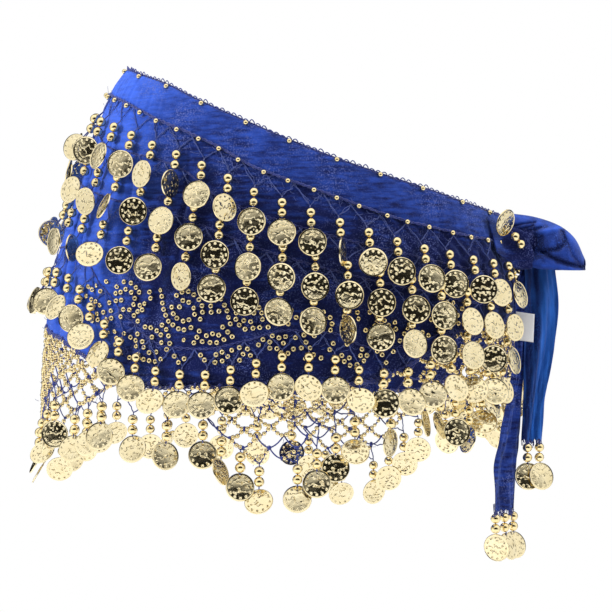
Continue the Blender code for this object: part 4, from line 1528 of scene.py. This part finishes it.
def tie_points(side):
    """Rings of the cloth that is drawn in towards the knot, rippled more and more."""
    share = np.linspace(0, 1, TIE_RINGS + 1)[:, None]
    turn = smooth_between(np.linspace(0, 1, len(TIE)), [r.turn for r in TIE], share) * side
    top, bottom = column_of(TIE, "top", share), column_of(TIE, "bottom", share)
    off, thick = column_of(TIE, "out", share), column_of(TIE, "thick", share)
    angle = np.linspace(0, 2 * math.pi, TIE_AROUND, endpoint=False)[None, :]
    ripple = 0.16 * np.cos(7 * angle + 1.2 * side + 1.1 * np.sin(5 * share)) * share
    across = np.sign(np.cos(angle)) * np.abs(np.cos(angle)) ** 0.8 * (1 + ripple * 0.2)
    deep = np.sin(angle) * (1 + ripple)
    height = (top + bottom) / 2 + (top - bottom) / 2 * across
    turn, height = np.broadcast_arrays(turn, height)
    base, out, _ = frame_at(turn, height)
    lift = (off + thick * (0.5 + 0.5 * deep)) * slope_stretch(turn, height)
    return base + out * (lift + swell_near(turn, height))[..., None]


toward_knot = np.repeat(np.linspace(0, 1, TIE_RINGS + 1), TIE_AROUND)
tie_painted_shade = np.concatenate([0.25 - 0.75 * toward_knot, [0.0, -0.5]])  # painted shade, darker where the cloth is drawn into the knot; the two end points last
for side, word in ((1, "front"), (-1, "back")):
    batch = Batch()
    closed_body(batch, tie_points(side))
    tie = make_piece(f"tie_cloth_{word}", batch, VELVET)
    paint_light_and_shade(tie, tie_painted_shade)
    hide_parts(f"tie_{word}")

# %% The tails
TailRing = namedtuple("TailRing", "height front_along front_out back_along back_out pleat")
LONG_TAIL = [
    TailRing(-72.2, 3.5, 13.0, -2.0, 16.5, 0.4),
    TailRing(-95.0, 11.0, 10.0, 1.0, 14.5, 1.4),
    TailRing(-130.0, 13.0, 10.0, 2.0, 14.0, 1.4),
    TailRing(-160.0, 19.0, 6.8, 5.0, 11.2, 1.4),
    TailRing(-185.0, 30.0, 2.5, 5.5, 10.0, 1.8),
    TailRing(-208.0, 38.0, -1.5, 5.5, 9.5, 2.0),
    TailRing(-231.0, 37.0, -1.0, 6.0, 8.5, 2.0),
]
SHORT_TAIL = [
    TailRing(-66.0, 3.0, 13.5, -4.5, 31.5, 0.6),
    TailRing(-100.0, 5.5, 14.8, -6.0, 35.0, 1.6),
    TailRing(-130.0, 6.5, 14.8, -4.0, 32.0, 1.6),
    TailRing(-163.0, 9.0, 14.8, 1.0, 26.2, 1.4),
    TailRing(-187.0, 12.5, 13.8, 5.0, 25.0, 1.8),
]
TAIL_PLEATS, PLEAT_SHIFT = 1.5, 0.12  # pleats across, and their drift from ring to ring
TAIL_THICK = 1.2 * MM
TAIL_COLUMNS, LONG_ROWS, SHORT_ROWS = 56, 110, 90


def tail_points(rings, rows, wrinkle):
    """The tail's sheet: pleats that follow the solid's, finer wrinkles, a ragged end."""
    down = np.linspace(0, 1, rows + 1)[:, None]
    share = np.linspace(0, 1, TAIL_COLUMNS + 1)[None, :]
    place = {f: column_of(rings, f, down) for f in TailRing._fields}
    run_along = place["back_along"] - place["front_along"]
    run_out = place["back_out"] - place["front_out"]
    length = np.hypot(run_along, run_out)
    phase = share + PLEAT_SHIFT * down * (len(rings) - 1)
    lift = place["pleat"] * np.cos(2 * math.pi * TAIL_PLEATS * phase) + TAIL_THICK / 2
    slanting = 4.3 * share + 1.7 * down + 0.4 * np.sin(9 * down)
    lift = lift + wrinkle * np.sin(2 * math.pi * slanting)
    lift = lift + 0.5 * wrinkle * np.sin(2 * math.pi * (7.1 * share - 3.1 * down))
    along = place["front_along"] + run_along * share + lift * run_out / length
    out = place["front_out"] + run_out * share - lift * run_along / length
    teeth = 0.5 + 0.5 * np.sin(31.0 * share + 2.0) * np.sin(13.0 * share)
    ragged = 2.6 * MM * teeth * down**40
    return by_knot(along, out, place["height"] - ragged)


def frayed_end(batch, points, count, reach):
    """Loose thread ends under a cut edge."""
    edge = points[-1]
    at = rng.uniform(0, len(edge) - 1.001, count)
    k = at.astype(int)
    roots = edge[k] + (edge[k + 1] - edge[k]) * (at - k)[:, None]
    spread = rng.normal(0, 0.8 * MM, (count, 3))
    ends = roots + spread - UPWARD * (rng.uniform(0.3, 1.0, count)[:, None] * reach)
    normals = np.repeat(KNOT_NORMAL[None], count, 0)
    v_threads(batch, roots, ends, normals, 0.24 * MM, sag=-0.3 * MM, steps=4)


long_points = tail_points(LONG_TAIL, LONG_ROWS, 0.35 * MM)
short_points = tail_points(SHORT_TAIL, SHORT_ROWS, 0.30 * MM)
# painted light: the velvet tail's colour takes one low, even level of it
tail_long = make_sheet("velvet_tail", long_points, VELVET, 0.5 * MM, 0.14)
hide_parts("tail_long")
tail_share = np.linspace(0, 1, TAIL_COLUMNS + 1)[None, :]
tail_down = np.linspace(0, 6, SHORT_ROWS + 1)[:, None]
# painted sheen: the satin tail is lighter on the half towards its back edge, with soft stripes down
# its length
satin_painted_sheen = 0.05 + 0.62 * (1.0 - soft_step(tail_share, 0.48, 0.05))
satin_painted_sheen = satin_painted_sheen + 0.14 * np.cos(tail_share * 22.0 + 0.6 * np.sin(tail_down))
tail_short = make_sheet("satin_tail", short_points, SATIN, 0.5 * MM, satin_painted_sheen)
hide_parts("tail_short")
frays = Batch()
frayed_end(frays, long_points, 90, 4.0 * MM)
frayed_end(frays, short_points, 60, 3.5 * MM)
make_piece("frayed_threads", frays, THREAD)

# %% The fold over the knot
WingRing = namedtuple("WingRing", "out top bottom half_width")
WING = [
    WingRing(6.0, -44.2, -60.0, 11.0),
    WingRing(16.0, -45.5, -74.0, 13.8),
    WingRing(25.5, -47.8, -79.8, 15.5),
    WingRing(37.0, -52.5, -80.2, 14.5),
    WingRing(46.0, -60.2, -80.2, 11.5),
    WingRing(52.5, -73.5, -80.2, 6.0),
]
FoldLine = namedtuple("FoldLine", "places width rise")
FOLD_LINES = [
    FoldLine([(38.5, -54.5), (41.0, -61.5), (37.5, -66.0), (27.0, -68.0)], 1.5, -3.2),
    FoldLine([(27.0, -68.5), (38.0, -73.8), (54.0, -79.0)], 1.4, -3.2),
    FoldLine([(22.0, -57.0), (30.0, -55.0), (38.0, -53.0)], 1.6, 2.4),
    FoldLine([(43.5, -57.0), (47.0, -60.0), (50.5, -65.0)], 2.2, 1.6),
    FoldLine([(28.0, -77.5), (40.0, -79.0), (52.0, -80.5)], 1.3, 1.8),
    FoldLine([(8.0, -52.0), (14.0, -50.5), (22.0, -49.5)], 0.8, -1.4),
    FoldLine([(11.0, -59.0), (15.0, -53.5), (21.0, -51.5)], 0.8, -1.6),
    FoldLine([(15.0, -60.0), (19.0, -55.5), (26.0, -52.5)], 0.9, -1.5),
    FoldLine([(44.0, -64.0), (46.0, -70.0), (50.0, -75.5)], 1.1, -1.0),
]
Hollow = namedtuple("Hollow", "out height reach_out reach_up depth")
HOLLOW = Hollow(17.0, -63.5, 9.5, 8.5, -7.0)  # the shadow in the loop, in millimetres


def fold_relief(out, height):
    """How far the fold's flank stands forward, in metres, at places given in metres."""
    out, height = out / MM, height / MM
    beside = ((out - HOLLOW.out) / HOLLOW.reach_out) ** 4
    above = ((height - HOLLOW.height) / HOLLOW.reach_up) ** 4
    total = HOLLOW.depth * np.exp(-beside - above)
    for line in FOLD_LINES:
        places = np.array(line.places)
        at = np.linspace(0, 1, len(places))
        fine = np.linspace(0, 1, 25)
        run = np.stack([smooth_between(at, places[:, k], fine) for k in (0, 1)], -1)
        gap = np.hypot(out[..., None] - run[:, 0], height[..., None] - run[:, 1]).min(-1)
        total = total + line.rise * np.exp(-((gap / line.width) ** 2))
    return total * MM


def wing_points(rows=84, columns=96):
    """The fold's sheet and the relief that was pressed into its two flanks."""
    down = np.linspace(0, 1, rows + 1)[:, None]
    angle = math.pi * (np.linspace(0, 1, columns + 1)[None, :] - 0.5)
    top, bottom = column_of(WING, "top", down), column_of(WING, "bottom", down)
    rise = np.clip(np.cos(angle), 0, 1) ** 0.75
    height = bottom + (top - bottom) * rise + TAIL_THICK / 2
    out = column_of(WING, "out", down) + 0 * angle
    press = fold_relief(out, height)
    flank = np.sign(angle) * np.clip(np.abs(np.sin(angle)) * 2.2, 0, 1)
    wide = column_of(WING, "half_width", down) * np.sin(angle) + press * flank
    return by_knot(wide, out, height), press


wing_grid, wing_press = wing_points()
# painted light and shade: the fold is lighter on its ridges, darker in its creases and in the
# hollow of the loop
wing_painted_light_shade = np.clip(0.30 + wing_press / (3.6 * MM), -0.9, 0.85)
wing = make_sheet("satin_fold", wing_grid, FOLD_SATIN, 0.6 * MM, wing_painted_light_shade)
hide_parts("knot_wing")

# %% [markdown]
# ## The drops of the tails and the label
# The tails end in the same drops, and one drop has flipped up beside the knot. They use the
# beads and coins above, placed along a line by the knot. The label is bare white ribbon.

# %% The drops of the tails
TAIL_OFFS = (ON_TAIL.braid, ON_TAIL.beads, ON_TAIL.beads, ON_TAIL.coins)


def tail_drop(ring, share, depth, off):
    """A point under a tail's end, at a depth below its braid."""
    front = np.array([ring.front_along, ring.front_out]) * MM
    back = np.array([ring.back_along, ring.back_out]) * MM
    across = unit(back - front)
    place = front + (back - front) * share + np.array([across[1], -across[0]]) * off
    height = ring.height * MM - SEAM - BRAID_HEIGHT - depth
    return by_knot(place[0], place[1], height)


def tail_drops(ring, shares):
    """Drops at shares of a tail's width. Every second coin lies in an outer layer."""
    sets = []
    for depth, off in zip(DROP_DEPTHS, TAIL_OFFS):
        layer = ON_TAIL.layer if depth == COIN_DEPTH else 0.0
        offs = [off + layer * (k % 2) for k in range(len(shares))]
        sets.append(np.array([tail_drop(ring, s, depth, o) for s, o in zip(shares, offs)]))
    outs = np.repeat(KNOT_NORMAL[None], len(shares), 0) - np.array([0.0, 0.6, 0.0])
    return Drops(*sets, unit(outs))


by_knot_threads = Batch()
for name, drops, node in (
    ("velvet_tail_fringe", tail_drops(LONG_TAIL[-1], (0.12, 0.52, 0.90)), "tail_long_fringe"),
    ("satin_tail_fringe", tail_drops(SHORT_TAIL[-1], (0.30, 0.92)), "tail_short_fringe"),
):
    make_drops(name, drops, 0.2, 0.3, node)
    drop_cores(by_knot_threads, drops)
    tops = drops.root + UPWARD * 5.0 * MM
    for shift in (-2.2, 2.2):
        v_threads(by_knot_threads, tops - KNOT_ALONG * shift * MM, drops.root, drops.out, 0.3 * MM)

# %% The flipped drop
FLIP_LEAN = -0.4


def knot_drop():
    """The flipped drop, which runs up from below the knot over the tie."""
    start = np.array([18.1, 16.5, -66.8]) * MM
    run = unit(np.array([0.45, -0.50, 0.74]))
    face = np.array([0.66, 0.75, 0.0])
    face = unit(face - run * (face @ run))
    sets = []
    for depth, off in zip(DROP_DEPTHS, TAIL_OFFS):
        sets.append(by_knot(*(start + run * depth + face * off))[None])
    out = -KNOT_ALONG * face[0] + KNOT_NORMAL * face[1]
    return Drops(*sets, unit(out)[None])


def flipped_coin(drops):
    """The flipped coin's axes. It leans back over the top edge, as it fell."""
    up = unit(drops.coin - drops.bead2)
    side = unit(np.cross(drops.out, up))
    lean = np.array([FLIP_LEAN])
    return np.stack([side, turned(drops.out, side, lean), turned(up, side, lean)], axis=1)


flipped = knot_drop()
batch = Batch()
batch.balls(LARGE_BALL, np.concatenate([flipped.bead1, flipped.bead2]), BEAD / 2)
make_piece("flipped_beads", batch, GOLD_BEAD)
flipped_piece = make_coins("flipped_coin", flipped.coin, flipped_coin(flipped))
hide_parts("knot_coin")
drop_cores(by_knot_threads, flipped)
make_piece("knot_threads", by_knot_threads, THREAD)

# %% The bare label
LABEL_WIDTH, LABEL_LENGTH = 12.0 * MM, 18.0 * MM
LABEL_TILT = math.radians(8.0)
LABEL_DOWN, LABEL_OFF = 0.32, 0.55 * MM  # its place on the tail's edge, and its gap


def tail_edge(k):
    """The solid velvet tail's front edge at its ring k, a seam's width off."""
    ring = LONG_TAIL[k]
    run = np.array([ring.back_along - ring.front_along, ring.back_out - ring.front_out]) * MM
    lift = ring.pleat * MM * math.cos(2 * math.pi * TAIL_PLEATS * PLEAT_SHIFT * k) + SEAM
    run /= np.linalg.norm(run)
    along = ring.front_along * MM + lift * run[1]
    return by_knot(along, ring.front_out * MM - lift * run[0], ring.height * MM)


upper, lower = tail_edge(1), tail_edge(2)
down_way = unit(lower - upper)
across_way = KNOT_NORMAL * math.cos(LABEL_TILT) - UPWARD * math.sin(LABEL_TILT)
seam_start = upper + (lower - upper) * LABEL_DOWN - KNOT_ALONG * LABEL_OFF
across = np.linspace(0, 1, 13)[None, :, None]
down = np.linspace(0, 1, 19)[:, None, None]
curl = 0.5 * MM * np.sin(math.pi * across) * (0.4 + down) - 0.4 * MM * down * across
label_grid = seam_start + across_way * LABEL_WIDTH * across + down_way * LABEL_LENGTH * down
label_grid = label_grid - KNOT_ALONG * curl
label = make_sheet("care_ribbon", label_grid, LABEL, 0.25 * MM)
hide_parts("care_label")

# %% [markdown]
# ## The floor
# The scarf hangs from its wearer, so nothing of it touches the ground. A pale floor well
# below it gives the soft light from underneath, out of the main camera's view.

# %% A pale floor
FLOOR_HEIGHT, FLOOR_RADIUS, FLOOR_SPOKES = -0.62, 2.2, 96
angle = np.linspace(0, 2 * math.pi, FLOOR_SPOKES, endpoint=False)
rim = np.stack([np.cos(angle), np.sin(angle), 0 * angle], -1) * FLOOR_RADIUS
floor_points = np.concatenate([rim, np.zeros((1, 3))]) + UPWARD * FLOOR_HEIGHT
this = np.arange(FLOOR_SPOKES)
floor_faces = np.stack([this, (this + 1) % FLOOR_SPOKES, 0 * this + FLOOR_SPOKES], -1)
floor_mesh = bpy.data.meshes.new("floor")
floor_mesh.from_pydata(floor_points.tolist(), [], floor_faces.tolist())
floor_mesh.materials.append(FLOOR)
floor = bpy.data.objects.new("floor", floor_mesh)
bpy.context.scene.collection.objects.link(floor)
print("floor:", FLOOR_HEIGHT, "m high,", 2 * FLOOR_RADIUS, "m across")
